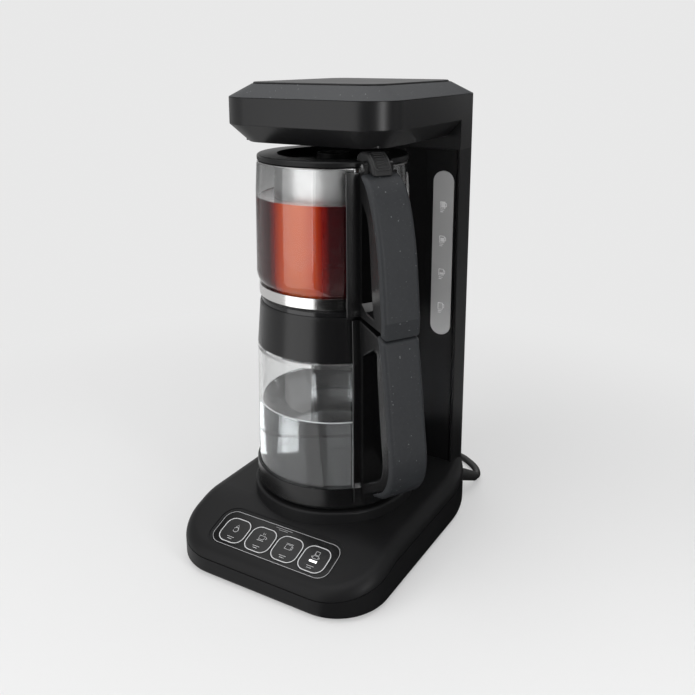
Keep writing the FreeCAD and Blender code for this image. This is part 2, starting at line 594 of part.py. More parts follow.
barrel_half = lid_half - 16.0
band = band.cut(seat).cut(mouth).cut(across(barrel_r + FIT, 5 - lid_half, lid_half - 5))
lid = pad(corners(-lid_half, lid_half, lid_front, lid_back, LID_CORNER, LID_CORNER + 3, BAND_TOP - LID_T),
          lid_top - BAND_TOP + LID_T)
lid = round_edges(lid, 1.2, lambda p: abs(p.z - lid_top) < 0.01 and p.y < axis_y)
rear = box(-FAR, FAR, axis_y, FAR, 0, FAR)
lid = join([lid.cut(rear), lid.common(rear).common(across(barrel_r, -FAR, FAR)),
            across(barrel_r, -barrel_half, barrel_half)])
hinge_pins = []
for x in ears:
    ear = across(barrel_r, x - ear_half, x + ear_half)
    foot = box(x - ear_half, x + ear_half, axis_y - barrel_r, axis_y + barrel_r + 2.5, BAND_TOP - 9, axis_z)
    band = join([band, ear.fuse(foot)])
    band = band.cut(across(pin_r, x - 20, x + 20))
    lid = lid.cut(box(x - ear_half - FIT, x + ear_half + FIT, axis_y - barrel_r - 2, FAR, 0, FAR))
    lid = lid.cut(across(pin_r + pin_fit, x - 9.5, x + 9.5))
    hinge_pins.append(across(pin_r, x - 9, x + 9))
piece("head_band", band)
piece("fill_lid", lid)
piece("fill_lid_pins", Part.Compound(hinge_pins))

tray_x, tray_y0, tray_y1, tray_z = TOWER_HALF - 11.0, HEAD_FRONT + 11, TOWER_BACK - 10.0, HEAD_HIGH - 5.5
duct_half = TOWER_HALF - 32.0
duct_y0, duct_y1 = tank_y0 + 4.2, tank_y1 - 4.2
tray = rounded(-tray_x, tray_x, tray_y0, tray_y1, 15, tray_z, tray_z + 6)
tray = tray.cut(rounded(-tray_x + 2, tray_x - 2, tray_y0 + 2, tray_y1 - 2, 13, tray_z + 2, FAR))
tray = join([tray, box(-duct_half, duct_half, duct_y0, duct_y1, tank_top - 6, tray_z + 1)])
tray = tray.cut(box(-duct_half + 1.6, duct_half - 1.6, duct_y0 + 1.6, duct_y1 - 1.6, 0, tray_z + 3))
posts, tray_screws = [], []
tray_spots = [(s * (TOWER_HALF - inset), y) for inset, y in ((20, HEAD_FRONT + 23), (26, TOWER_FRONT - 8))
              for s in (-1, 1)]
for x, y in tray_spots:
    post = rod(x, y, 4.0, HEAD_BELLY + 1, tray_z)
    posts.append(post.cut(rod(x, y, 1.5, tray_z - 12, tray_z + 1)))
    tray = tray.cut(rod(x, y, 1.7, HEAD_LOW, FAR))
    tray_screws.append(rod(x, y, 3.0, tray_z + 2, tray_z + 3.6).fuse(rod(x, y, 1.5, tray_z - 10, tray_z + 3)))
parts["head_shell"] = join([parts["head_shell"]] + posts)
for x, y in tray_spots:
    parts["head_shell"] = parts["head_shell"].cut(rod(x, y, 1.5, tray_z - 12, tray_z + 1))
piece("fill_tray", tray)
piece("tray_screws", Part.Compound(tray_screws))

pipe_end = HEAD_BELLY + 7
nozzle = lathe([(3.6, pipe_end), (3.6, pipe_end + 3), (6, pipe_end + 3), (6, HEAD_BELLY + WALL + 2),
                (15, HEAD_BELLY + WALL + 2), (15, HEAD_BELLY + WALL), (nozzle_hole_r, HEAD_BELLY + WALL),
                (nozzle_hole_r, nozzle_z + 1), (nozzle_hole_r - 1, nozzle_z), (8.5, nozzle_z),
                (7.5, nozzle_z + 3), (2.2, nozzle_z + 3), (2.2, pipe_end)])
nozzle.translate(V(0, POT_Y, 0))
piece("spout_nozzle", nozzle)

# ---------------------------------------------------------------- kettle, in the pots' own frame
def lip_spout(base_r, reach, low, top, width):
    """Small pouring nose opposite the handle, growing from nothing at low to its reach at top."""
    wires = []
    for tip, z in ((base_r + 0.6, low), (reach, top)):
        w = width * (0.55 if z == low else 1.0)
        wires.append(wire([(-base_r + 12, -w), (-base_r + 12, w), (-base_r + 2, w),
                           (-tip, 0, -base_r + 2, -w)], lambda x, y: V(x, y, z)))
    return Part.makeLoft(wires, True, True)


disc_r = 17.0
foot_r = KETTLE_R - 2.6
sole_r = foot_r - 4.0
sole_t, floor_z, floor_t = 2.6, KETTLE_RING_TOP - 3.0, 1.5
base = lathe([(disc_r + FIT, KETTLE_LOW), (foot_r, KETTLE_LOW),
              (KETTLE_RING_R - 1.35, KETTLE_LOW + 1.35, KETTLE_RING_R, KETTLE_LOW + 4.6),
              (KETTLE_RING_R, KETTLE_RING_TOP), (KETTLE_R + 0.3, KETTLE_RING_TOP),
              (KETTLE_R + 0.3, floor_z - 0.7), (foot_r, floor_z - 0.7), (foot_r, floor_z), (sole_r, floor_z),
              (sole_r, KETTLE_LOW + sole_t), (disc_r + FIT, KETTLE_LOW + sole_t)])
sole_top = KETTLE_LOW + sole_t
kettle_socket = lathe([(0, KETTLE_LOW), (disc_r, KETTLE_LOW), (disc_r, sole_top), (disc_r + 4, sole_top),
                       (disc_r + 4, sole_top + 3), (8, sole_top + 3), (8, sole_top + 6), (0, sole_top + 6)])
floor = lathe([(0, floor_z), (foot_r, floor_z), (foot_r, floor_z + floor_t), (0, floor_z + floor_t)])
heater = rod(0, 0, sole_r - 10, floor_z - 2.5, floor_z)
heater = heater.fuse(Part.makeTorus(sole_r - 20, 3.5, V(0, 0, floor_z - 4))).removeSplitter()
neck_z, belly_z = COLLAR_LOW - 0.3, KETTLE_LOW + 46
neck_r = COLLAR_R + 0.4
bond_top = COLLAR_LOW + 10.5
inner_r = COLLAR_R - 3.8
glass = lathe([(KETTLE_R - GLASS_T, floor_z - 0.7), (KETTLE_R, floor_z - 0.7), (KETTLE_R, belly_z),
               (KETTLE_NECK_R, neck_z - 1.0), (KETTLE_NECK_R - 1, neck_z), (neck_r, neck_z), (neck_r, bond_top),
               (neck_r - GLASS_T, bond_top), (neck_r - GLASS_T, neck_z + 1),
               (KETTLE_NECK_R - GLASS_T, neck_z - 5), (KETTLE_R - GLASS_T, belly_z)])
collar = lathe([(neck_r + 0.2, COLLAR_LOW + 0.3), (KETTLE_NECK_R, COLLAR_LOW + 0.3),
                (COLLAR_R, COLLAR_TOP - 2), (COLLAR_R - 0.6, COLLAR_TOP), (inner_r, COLLAR_TOP),
                (inner_r, bond_top + 0.3), (neck_r + 0.2, bond_top + 0.3)])
nose_low, nose_out, nose_t = COLLAR_TOP - 24, 11.4, 2.5
nose = lip_spout(COLLAR_R, COLLAR_R + nose_out, nose_low, COLLAR_TOP, 17)
nose_hollow = lip_spout(COLLAR_R - nose_t, COLLAR_R + nose_out - nose_t, nose_low + nose_t, COLLAR_TOP + 0.1,
                        17 - nose_t)
nose = nose.cut(rod(0, 0, COLLAR_R - 1.5, nose_low - 5, COLLAR_TOP + 5))
collar = join([collar, nose]).cut(nose_hollow)
seal_r, seal_edge = COLLAR_R - 7.6, COLLAR_R - 1.4
seal = lathe([(seal_r, COLLAR_TOP - 3), (inner_r - 0.2, COLLAR_TOP - 3), (inner_r - 0.2, COLLAR_TOP),
              (seal_edge, COLLAR_TOP), (seal_edge, SEAL_TOP - 2), (seal_edge - 2, SEAL_TOP),
              (seal_r, SEAL_TOP)])

handle_half, grip_half = 13.0, 17.0


def envelope(steps):
    """Turned space that must stay free of the handle."""
    return lathe([(0, steps[0][1])] + steps + [(0, steps[-1][1])])


def sector(shape, degrees):
    """Part of a turned shell within some degrees each side of +X."""
    a = math.radians(degrees)
    x, y = FAR * math.cos(a), FAR * math.sin(a)
    face = Part.Face(wire([(0, 0), (x, -y), (FAR, 0, x, y)], lambda x, y: V(x, y, 0)))
    return shape.common(face.extrude(V(0, 0, FAR)))


def strap(skin, space, degrees):
    """Strap of a handle that hugs its pot, with its upright outer edges rounded."""
    shell = sector(skin.cut(space), degrees)
    return round_edges(shell, 1.0, lambda p: abs(abs(math.degrees(math.atan2(p.y, p.x))) - degrees) < 0.1
                       and not space.isInside(p, 0.8, True))


def moved(points, dx):
    """The same profile points, shifted along X."""
    return [(x + dx, z) for x, z in points]


def on_flanks(half, near):
    """Picks the edges along both flanks of a plate, beyond a distance from the pot's axis."""
    return lambda p: abs(abs(p.y) - half) < 0.01 and p.x > near


low, top = KETTLE_LOW, COLLAR_TOP
kettle_space = envelope([(KETTLE_RING_R + 0.4, low - 10), (KETTLE_RING_R + 0.4, KETTLE_RING_TOP + 0.6),
                         (KETTLE_R + 0.5, KETTLE_RING_TOP + 0.7), (KETTLE_NECK_R + 0.5, COLLAR_LOW),
                         (COLLAR_R + 0.5, top - 1), (COLLAR_R + 0.5, top + 80)])
kettle_skin = envelope([(KETTLE_RING_R + 2.8, low + 8.4), (KETTLE_RING_R + 2.8, KETTLE_RING_TOP + 2),
                        (KETTLE_R + 3.6, KETTLE_RING_TOP + 6), (KETTLE_NECK_R + 3.6, COLLAR_LOW),
                        (COLLAR_R + 4.0, top - 1.6)])
kettle_shield = strap(kettle_skin, kettle_space, 16)
r = KETTLE_R
kettle_back = [(r + 34.9, top - 9.7), (r + 41.9, top - 44), (r + 47.9, low + 87.4), (r + 50.7, low + 68.4),
               (r + 48.8, low + 50), (r + 42.4, low + 39), (r + 34.9, low + 33.4)]
kettle_bar = side([(r - 8, top - 0.5), kettle_back, (r + 7.2, low + 17), (r + 7.2, low + 8.4),
                   (r - 8, low + 8.4)], handle_half)
kettle_bar = round_edges(kettle_bar, 4, lambda p: abs(p.y) < 1 and abs(p.z - kettle_back[0][1]) < 0.1)
kettle_gap = side([(r + 4.4, top - 31), (r + 20.4, top - 20.4),
                   [(r + 25.4, top - 23), (r + 28.4, top - 61), (r + 33.4, low + 70.4), (r + 34.3, low + 50),
                    (r + 30, low + 41.5)], (r + 5, low + 26.4)], 40)
kettle_gap = round_edges(kettle_gap, 3, lambda p: abs(p.y) < 1 and p.x > r + 15)
kettle_bar = kettle_bar.cut(kettle_gap)
kettle_bar = round_edges(kettle_bar, 1.2, on_flanks(handle_half, r + 8))
kettle_frame = join([kettle_bar.cut(kettle_space), kettle_shield])
grip_back = [(r + 41.4, top - 8), (r + 47.6, top - 44), (r + 53.6, low + 87.4), (r + 56.4, low + 67.4),
             (r + 54.2, low + 48), (r + 46.4, low + 35.4), (r + 34.4, low + 28.4)]
kettle_grip = side([(r + 31.4, top - 4.5), grip_back, (r + 28, low + 26)], grip_half)
kettle_grip = round_edges(kettle_grip, 4, lambda p: abs(p.y) < 1 and p.z > top - 20 and p.x > r + 38)
kettle_grip = round_edges(kettle_grip, 3.5, on_flanks(grip_half, r + 30))
under_grip = moved(kettle_back, 0.2)
kettle_grip = kettle_grip.cut(side([(r + 20, top + 10), under_grip[0], under_grip, (r + 20, low + 24)], 40))


def screw(x, y, z, r, reach, head_r=2.8, head_t=1.6, along=V(1, 0, 0)):
    """Round-headed screw whose head rests at the given point and whose shank runs along a direction."""
    at = V(x, y, z)
    head = Part.makeCylinder(head_r, head_t, at - along * head_t, along)
    return head.fuse(Part.makeCylinder(r, reach + 0.5, at - along * 0.5, along)).removeSplitter()


kettle_screws = []
for z, at in ((COLLAR_TOP - 18, inner_r - 0.1), (COLLAR_TOP - 8, inner_r - 0.1), (floor_z - 4, sole_r - 0.1)):
    kettle_screws.append(screw(at, 0, z, 1.5, 14))
    hole = Part.makeCylinder(1.5, 40, V(at - 20, 0, z), V(1, 0, 0))
    kettle_frame = kettle_frame.cut(hole.common(box(0, at + 14, -40, 40, 0, FAR)))
    if z > COLLAR_LOW:
        collar = collar.cut(hole)
    else:
        base = base.cut(hole)
parts.update({name: on_pots(shape) for name, shape in {
    "kettle_base": base, "kettle_socket": kettle_socket, "kettle_floor": floor, "kettle_heater": heater,
    "kettle_glass": glass, "kettle_collar": collar, "kettle_rim_seal": seal,
    "kettle_handle_frame": kettle_frame, "kettle_grip": kettle_grip,
    "kettle_handle_screws": Part.Compound(kettle_screws)}.items()})

# ---------------------------------------------------------------- teapot
ring_wall = 1.6
tea_reach = max(TEA_R, seal_edge)      # the handle clears the pot and the seal that it stands on
screw_at, lug_end, lug_half = tea_reach + 6.4, tea_reach + 10.9, 6.0
lug_low, lug_top = TEA_LOW, TEA_LOW + ring_wall
tea_base, tea_t = TEA_LOW + 4.2, 2.2
tea_foot = TEA_R - 12.6


def tea_body(inset, grow=0.0):
    """Space of the pot's glass, set in by its wall for the hollow or grown for a clearance."""
    d = grow - inset
    return lathe([(0, tea_base - d), (tea_foot, tea_base - d),
                  (TEA_R - 4.3 + 0.8 * d, tea_base + 5.4 - 0.6 * d, TEA_R + d, tea_base + 19),
                  (TEA_R - 0.9 + d, TEA_TOP - 23.5), (TEA_MOUTH_R + d, TEA_TOP), (0, TEA_TOP)])


tea_ring = lathe([(tea_foot + 2, TEA_LOW), (TEA_RING_R - 1, TEA_LOW), (TEA_RING_R, TEA_LOW + 1),
                  (TEA_RING_R, TEA_RING_TOP), (tea_foot + 7, TEA_RING_TOP), (tea_foot + 2, TEA_LOW + 3.5)])
tea_ring = tea_ring.cut(tea_body(0, 0.2))
lug = box(TEA_RING_R - 1.2, lug_end, -lug_half, lug_half, lug_low, lug_top)
tea_ring = join([tea_ring, lug]).cut(rod(screw_at, 0, 1.6, lug_low - 1, lug_top + 1))
tea_nose = lip_spout(TEA_MOUTH_R + 0.2, TEA_MOUTH_R + 8.1, TEA_TOP - 16.5, TEA_TOP, 13)
tea_nose = tea_nose.cut(rod(0, 0, TEA_MOUTH_R - 3.4, TEA_LOW, FAR))
tea_lip = lip_spout(TEA_MOUTH_R - 1.6, TEA_MOUTH_R + 5.9, TEA_TOP - 14.5, TEA_TOP, 11)
tea_hollow = join([tea_body(tea_t), tea_lip])
tea_glass = join([tea_body(0), tea_nose]).cut(tea_hollow)

mesh_t, slot_count, slot_h = 0.8, 24, 30.0
brim_r = TEA_MOUTH_R - 0.9
infuser = lathe([(0, INFUSER_LOW), (INFUSER_R - 4, INFUSER_LOW), (INFUSER_R, INFUSER_LOW + 4),
                 (INFUSER_R, TEA_TOP), (brim_r, TEA_TOP), (brim_r, TEA_TOP + mesh_t),
                 (INFUSER_R - mesh_t, TEA_TOP + mesh_t), (INFUSER_R - mesh_t, INFUSER_LOW + 4.4),
                 (INFUSER_R - 4.4, INFUSER_LOW + mesh_t), (0, INFUSER_LOW + mesh_t)])
slots = []
for k in range(slot_count):
    slot = box(INFUSER_R - 3, INFUSER_R + 3, -0.9, 0.9, INFUSER_LOW + 9, INFUSER_LOW + 9 + slot_h)
    slot.rotate(V(), UP, 360.0 * (k + 0.5) / slot_count)
    slots.append(slot)
infuser = infuser.cut(slots)

lid_r, dish_r, chimney_r, chimney_bore = TEA_MOUTH_R - 0.2, INFUSER_R - 3.8, 13.5, 11.0
dish_z = LID_LOW - 3.5
tea_lid = lathe([(chimney_bore, dish_z), (dish_r, dish_z), (dish_r, LID_LOW), (lid_r - 0.8, LID_LOW),
                 (lid_r, LID_LOW + 0.8), (lid_r, LID_TOP - 1.6),
                 (lid_r - 0.5, LID_TOP - 0.5, lid_r - 1.6, LID_TOP), (dish_r + 1.3, LID_TOP),
                 (dish_r - 2.2, dish_z + 2.5), (chimney_r, dish_z + 2.5), (chimney_r, LID_TOP + 0.3),
                 (chimney_bore, LID_TOP + 0.3)])
lid_seal = lathe([(dish_r, dish_z + 0.5), (dish_r + 1.4, dish_z + 0.5), (dish_r + 1.4, dish_z + 2),
                  (dish_r, dish_z + 2)])

pin_at, pin_z, tea_pin_r, tab_half = TEA_R + 4.4, LID_TOP - 3.0, 1.6, 9.0
x, z = pin_at, LID_TOP
tab = side([(x - 17, z), [(x - 15.6, z + 3), (x - 12, z + 6.4), (x - 7, z + 7.5), (x - 1, z + 6.8),
                          (x + 6, z + 1.5), (x + 11, z - 9.5)],
            (x + 5.5, z - 6.8), (x - 1, z - 6.8), (x - 4.5, z - 4), (x - 5, z)], tab_half)
tab = round_edges(tab, 2.5, lambda p: abs(abs(p.y) - tab_half) < 0.01 and p.z > z + 0.5)
tab = tab.cut(Part.makeCylinder(tea_pin_r + pin_fit, 60, V(pin_at, -30, pin_z), V(0, 1, 0)))
tab_screws = []
tab_screw_at = pin_at - 11
for y in (-5, 5):
    hole = rod(tab_screw_at, y, 1.1, LID_LOW - 1, LID_TOP + 4)
    tab, tea_lid = tab.cut(hole), tea_lid.cut(hole)
    tea_lid = tea_lid.cut(rod(tab_screw_at, y, 2.2, LID_LOW - 1, LID_LOW + 1.2))
    tab_screws.append(screw(tab_screw_at, y, LID_LOW + 1.2, 1.1, 7, 2.0, 1.1, UP))
lid_pin = Part.makeCylinder(tea_pin_r, 26, V(pin_at, -13, pin_z), V(0, 1, 0))

low, top, r = TEA_LOW, TEA_TOP, TEA_R
tea_space = envelope([(tea_reach + 0.2, low - 30), (tea_reach + 0.2, low + 1), (r + 0.6, TEA_RING_TOP),
                      (r + 0.6, low + 24),
                      (r - 0.2, top - 23.5), (TEA_MOUTH_R + 0.6, top), (TEA_MOUTH_R + 0.6, top + 60)])
tea_skin = envelope([(r + 3.6, low - 4), (r + 3.9, TEA_RING_TOP), (r + 3.9, low + 24), (r + 3.1, top - 23.5),
                     (r + 2.0, top - 2)])
tea_shield = strap(tea_skin, tea_space, 20)
tea_back = [(r + 8.4, top - 3.6), (r + 15, top - 9.5), (r + 20.9, top - 19.5), (r + 27, top - 35),
            (r + 32.4, top - 54), (r + 37.1, low + 29.7), (r + 40.4, low + 2.2)]
tea_bar = side([(r - 6, top - 2), tea_back, (r + 39.4, low - 10.4), (r + 1.4, low - 4.9), (r - 6, low - 3.8)],
               handle_half)
tea_gap = side([(r + 4, top - 24), [(r + 9.4, top - 31), (r + 12.9, top - 43), (r + 16.2, top - 68),
                                    (r + 20.9, low + 6), (r + 22.2, low - 0.5)],
                (r + 10.4, low + 2), (r + 4, low + 7.2)], 40)
tea_bar = tea_bar.cut(tea_gap)
tea_bar = round_edges(tea_bar, 1.2, on_flanks(handle_half, r + 8))
knuckle = side([(r, top - 3.6), tea_back[0], (x + 4, pin_z), (x, pin_z + 4, x - 4, pin_z)], handle_half)
knuckle = knuckle.cut(box(0, FAR, -tab_half - 0.4, tab_half + 0.4, top - 2, FAR))
tea_frame = join([tea_bar, tea_shield, knuckle]).cut(tea_space)
tea_frame = tea_frame.cut(Part.makeCylinder(tea_pin_r, 60, V(pin_at, -30, pin_z), V(0, 1, 0)))
lug_room = lug_half + 0.2
tea_frame = tea_frame.cut(box(r - 6, lug_end + 0.3, -lug_room, lug_room, lug_low - 0.1, lug_top + 0.1))
tea_frame = tea_frame.cut(rod(screw_at, 0, 1.5, 0, lug_top + 4)).cut(rod(screw_at, 0, 3, 0, lug_low - 2.5))
tea_screw = screw(screw_at, 0, lug_low - 2.5, 1.5, 7.5, 2.7, 1.6, UP)
grip_back = [(r + 8.4, top - 2.2), (r + 15.5, top - 4.8), (r + 21.6, top - 10.5), (r + 27.5, top - 20),
             (r + 33, top - 35), (r + 37.8, top - 54), (r + 42.2, low + 30), (r + 45.4, low + 2.2)]
tea_grip = side([(r + 6, top - 3), grip_back, (r + 44.4, low - 11.5), (r + 33, low - 9.8)], grip_half)
tea_grip = round_edges(tea_grip, 3.5, on_flanks(grip_half, r + 25))
under_grip = moved(tea_back, 0.2)
tea_grip = tea_grip.cut(side([(r, top + 5), (r + 8.5, top), under_grip, (r + 39.6, low - 20), (r, low - 20)],
                             40))
parts.update({name: on_pots(shape) for name, shape in {
    "teapot_ring": tea_ring, "teapot_glass": tea_glass, "teapot_handle_frame": tea_frame,
    "teapot_grip": tea_grip, "teapot_handle_screw": tea_screw, "lid_hinge_pin": lid_pin, "infuser": infuser,
    "teapot_lid": tea_lid, "thumb_tab": tab, "thumb_tab_screws": Part.Compound(tab_screws),
    "lid_seal": lid_seal}.items()})

# ---------------------------------------------------------------- mains lead
cord_r = CORD_D / 2
exit_at = V(BASE_HALF - 14.7, TOWER_BACK - 19, 21)
exit_way = V(0.3, 0.85, -0.43).normalize()


def on_exit(r0, r1, s0, s1):
    """Cone or cylinder along the lead where it leaves the wall of the base."""
    at = exit_at + exit_way * s0
    if abs(r0 - r1) < 1e-6:
        return Part.makeCylinder(r0, s1 - s0, at, exit_way)
    return Part.makeCone(r0, r1, s1 - s0, at, exit_way)


relief = join([on_exit(6.0, 6.0, -15, 3), on_exit(6.0, 4.7, 3, 21), on_exit(7.4, 7.4, -16, -13)])
relief = relief.cut(on_exit(cord_r, cord_r, -30, 30))
piece("strain_relief", relief)
for name in ("base_tub", "base_cover"):
    parts[name] = parts[name].cut(on_exit(6.3, 6.3, -12, 14))
terminal = box(50, 74, 66, 83, floor_top, floor_top + 22)
terminal = terminal.cut([rod(x, 70, 2, floor_top + 15, floor_top + 30) for x in (55, 62, 69)])
piece("terminal_block", terminal)

turn_z, turn_pitch = cord_r + 0.1, CORD_D + 0.1
outer_turn = COIL_R + turn_pitch / 2
end_angle = math.radians(-60)
coil_end = V(COIL_X + outer_turn * math.cos(end_angle), COIL_Y + outer_turn * math.sin(end_angle), turn_z)
route = [V(62, 86, 22), exit_at - exit_way * 34, V(89.3, 150, 12.4), V(87.5, 167, 4.4), V(78, 184, turn_z),
         V(50, 202, turn_z), coil_end]
lead, lead_length, lead_radii = tube(route, cord_r)
plug_x, plug_y, plug_r = COIL_X - outer_turn, COIL_Y + 50, 18.0
inner_turn = outer_turn - turn_pitch
low, high, waist = turn_z, turn_z + turn_pitch, cord_r * 0.5
coil = lathe([(inner_turn - cord_r, low), (inner_turn - 0.7 * cord_r, low - 0.7 * cord_r, COIL_R, low - waist),
              (outer_turn + 0.7 * cord_r, low - 0.7 * cord_r, outer_turn + cord_r, low),
              (outer_turn + waist, (low + high) / 2), (outer_turn + cord_r, high),
              (outer_turn + 0.7 * cord_r, high + 0.7 * cord_r, COIL_R, high + waist),
              (inner_turn - 0.7 * cord_r, high + 0.7 * cord_r, inner_turn - cord_r, high),
              (inner_turn - waist, (low + high) / 2)])
coil.translate(V(COIL_X, COIL_Y, 0))
piece("cord_coil", coil)
tail = tube([V(plug_x, COIL_Y + 12, turn_z + turn_pitch), V(plug_x, plug_y + 2, plug_r - 1)], cord_r)[0]
piece("power_cord", Part.Compound([lead.cut(coil), tail.cut(coil)]))
plug = lathe([(cord_r, 0), (6, 0), (8, 12), (plug_r - 2, 20), (plug_r, 22), (plug_r, 34), (plug_r - 1, 36),
              (0, 36), (0, 3), (cord_r, 3)])
pins = [rod(x, 0, 2.4, 36, 55) for x in (-9.5, 9.5)]
for shape in [plug] + pins:
    shape.rotate(V(), V(1, 0, 0), -90)
    shape.translate(V(plug_x, plug_y, plug_r))
piece("plug_body", plug)
piece("plug_pins", Part.Compound(pins))

os.makedirs("parts", exist_ok=True)
for name, shape in parts.items():
    shape.exportStep("parts/%s.step" % name)
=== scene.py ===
"""Automatic tea maker: finishes, water and tea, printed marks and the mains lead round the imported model."""
import math

import bpy
from mathutils import Matrix, Vector


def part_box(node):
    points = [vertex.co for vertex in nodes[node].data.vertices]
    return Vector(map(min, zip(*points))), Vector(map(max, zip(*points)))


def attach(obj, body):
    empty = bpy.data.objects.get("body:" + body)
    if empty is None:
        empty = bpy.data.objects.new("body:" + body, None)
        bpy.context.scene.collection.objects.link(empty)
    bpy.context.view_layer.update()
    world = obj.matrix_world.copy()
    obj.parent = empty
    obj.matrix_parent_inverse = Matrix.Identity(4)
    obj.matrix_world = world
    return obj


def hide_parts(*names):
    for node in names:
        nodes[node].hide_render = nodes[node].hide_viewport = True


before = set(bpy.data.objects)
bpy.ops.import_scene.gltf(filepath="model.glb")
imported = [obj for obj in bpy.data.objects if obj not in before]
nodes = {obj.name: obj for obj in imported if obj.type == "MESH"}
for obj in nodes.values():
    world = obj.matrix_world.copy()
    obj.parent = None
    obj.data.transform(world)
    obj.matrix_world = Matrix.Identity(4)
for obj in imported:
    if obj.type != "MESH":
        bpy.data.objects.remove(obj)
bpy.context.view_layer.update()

# ---------------------------------------------------------------- base housing
# Tub and cover are injection-moulded in black, lightly textured plastic and screwed together from below.
# A fine spark-eroded grain keeps them matt; four soft rubber feet are pressed into the tub.
mm = 0.001


class Socket:
    """One output in a shader tree. Arithmetic on it adds the Math nodes."""

    def __init__(self, out):
        self.out = out

    @staticmethod
    def node(tree, kind, settings=None, inputs=None, pick=0):
        """Adds a node: its settings first, then the values or links of its sockets."""
        made = tree.nodes.new(kind)
        for key, value in (settings or {}).items():
            if key == "stops":
                ramp = made.color_ramp
                while len(ramp.elements) < len(value):
                    ramp.elements.new(0.5)
                for stop, (position, colour) in zip(ramp.elements, value):
                    stop.position = position
                    stop.color = colour if len(colour) == 4 else (*colour, 1)
            else:
                setattr(made, key, value)
        for key, value in (inputs or {}).items():
            if isinstance(value, Socket):
                tree.links.new(value.out, made.inputs[key])
            else:
                made.inputs[key].default_value = value
        return Socket(made.outputs[pick])

    def make(self, kind, settings=None, inputs=None, pick=0):
        return Socket.node(self.out.id_data, kind, settings, inputs, pick)

    def maths(self, operation, *values):
        return self.make("ShaderNodeMath", {"operation": operation}, dict(enumerate(values)))

    def __add__(self, other):
        return self.maths("ADD", self, other)

    def __radd__(self, other):
        return self.maths("ADD", other, self)

    def __sub__(self, other):
        return self.maths("SUBTRACT", self, other)

    def __rsub__(self, other):
        return self.maths("SUBTRACT", other, self)

    def __mul__(self, other):
        return self.maths("MULTIPLY", self, other)

    def __rmul__(self, other):
        return self.maths("MULTIPLY", other, self)

    def __gt__(self, other):
        return self.maths("GREATER_THAN", self, other)

    def __lt__(self, other):
        return self.maths("LESS_THAN", self, other)

    def mix(self, off, on):
        """Colour that goes from off to on as this value goes from 0 to 1."""
        full = [c if isinstance(c, Socket) or len(c) == 4 else (*c, 1) for c in (off, on)]
        return self.make("ShaderNodeMix", {"data_type": "RGBA"}, {0: self, 6: full[0], 7: full[1]}, 2)

    def noise(self, scale, detail=2.0, roughness=0.5):
        """Noise over this vector, scale in features per metre."""
        return self.make("ShaderNodeTexNoise", {}, {"Vector": self, "Scale": scale, "Detail": detail,
                                                    "Roughness": roughness})

    def bump(self, distance):
        """Normal from this height, distance in metres."""
        return self.make("ShaderNodeBump", {}, {"Height": self, "Distance": distance, "Strength": 1.0})

    def principled(self, **values):
        """Surface shader; its inputs are named with _ for a space."""
        inputs = {name.replace("_", " "): value for name, value in values.items()}
        return self.make("ShaderNodeBsdfPrincipled", {}, inputs)


def paint(name, surface, *targets, volume=None):
    """Makes a material from surface(Object coordinates). Targets are pieces, or CAD nodes by name."""
    material = bpy.data.materials.new(name)
    material.use_nodes = True
    tree = material.node_tree
    tree.nodes.clear()
    place = Socket.node(tree, "ShaderNodeTexCoord", pick="Object")
    output = tree.nodes.new("ShaderNodeOutputMaterial")
    tree.links.new(surface(place).out, output.inputs["Surface"])
    if volume:
        tree.links.new(volume(place).out, output.inputs["Volume"])
    for target in targets:
        piece = nodes[target] if isinstance(target, str) else target
        if not piece.material_slots:
            piece.data.materials.append(material)
        for slot in piece.material_slots:
            slot.material = material


def moulded(shade, rough, grain=6e-6, sheen=0.4):
    """Moulded plastic with a fine grain and faint flow marks; shade is its linear colour."""
    def surface(place):
        flow = place.noise(14.0, 3.0)
        fine = place.noise(2600.0, 2.0)
        dark, light = [0.86 * c for c in shade], [1.14 * c for c in shade]
        return place.principled(Base_Color=flow.mix(dark, light), Roughness=rough + 0.08 * (flow - 0.5),
                                Specular_IOR_Level=sheen, Normal=fine.bump(grain))
    return surface


paint("housing_black", moulded((0.0080, 0.0080, 0.0084), 0.44, sheen=0.12), "base_tub", "base_cover")
paint("rubber_black", moulded((0.010, 0.010, 0.010), 0.75, grain=3e-5), "rubber_feet")


def steel(shade, rough, scale, streak=(1, 1, 1)):
    """Metal with fine marks, their scale per metre; a small streak draws them out along that axis."""
    def surface(place):
        drawn = place.make("ShaderNodeVectorMath", {"operation": "MULTIPLY"}, {0: place, 1: streak})
        marks = drawn.noise(scale, 2.0)
        return place.principled(Base_Color=marks.mix([0.9 * c for c in shade], shade), Metallic=1.0,
                                Roughness=rough + 0.12 * (marks - 0.5), Normal=marks.bump(4e-6))
    return surface


paint("plated_screw", steel((0.60, 0.60, 0.61), 0.35, 300.0), "base_screws", "board_screws",
      "tray_screws", "kettle_handle_screws", "teapot_handle_screw", "thumb_tab_screws", "lid_hinge_pin",
      "fill_lid_pins", "plug_pins")

# ---------------------------------------------------------------- pot connector
# The centre of the plinth carries a moulded connector with two flush contact rings of plated brass.
# The kettle's own connector stands on it and lets the kettle be set down at any angle.
paint("connector_black", moulded((0.012, 0.012, 0.012), 0.38), "power_socket", "kettle_socket")
paint("contact_brass", steel((0.72, 0.52, 0.27), 0.28, 260.0), "socket_contacts")

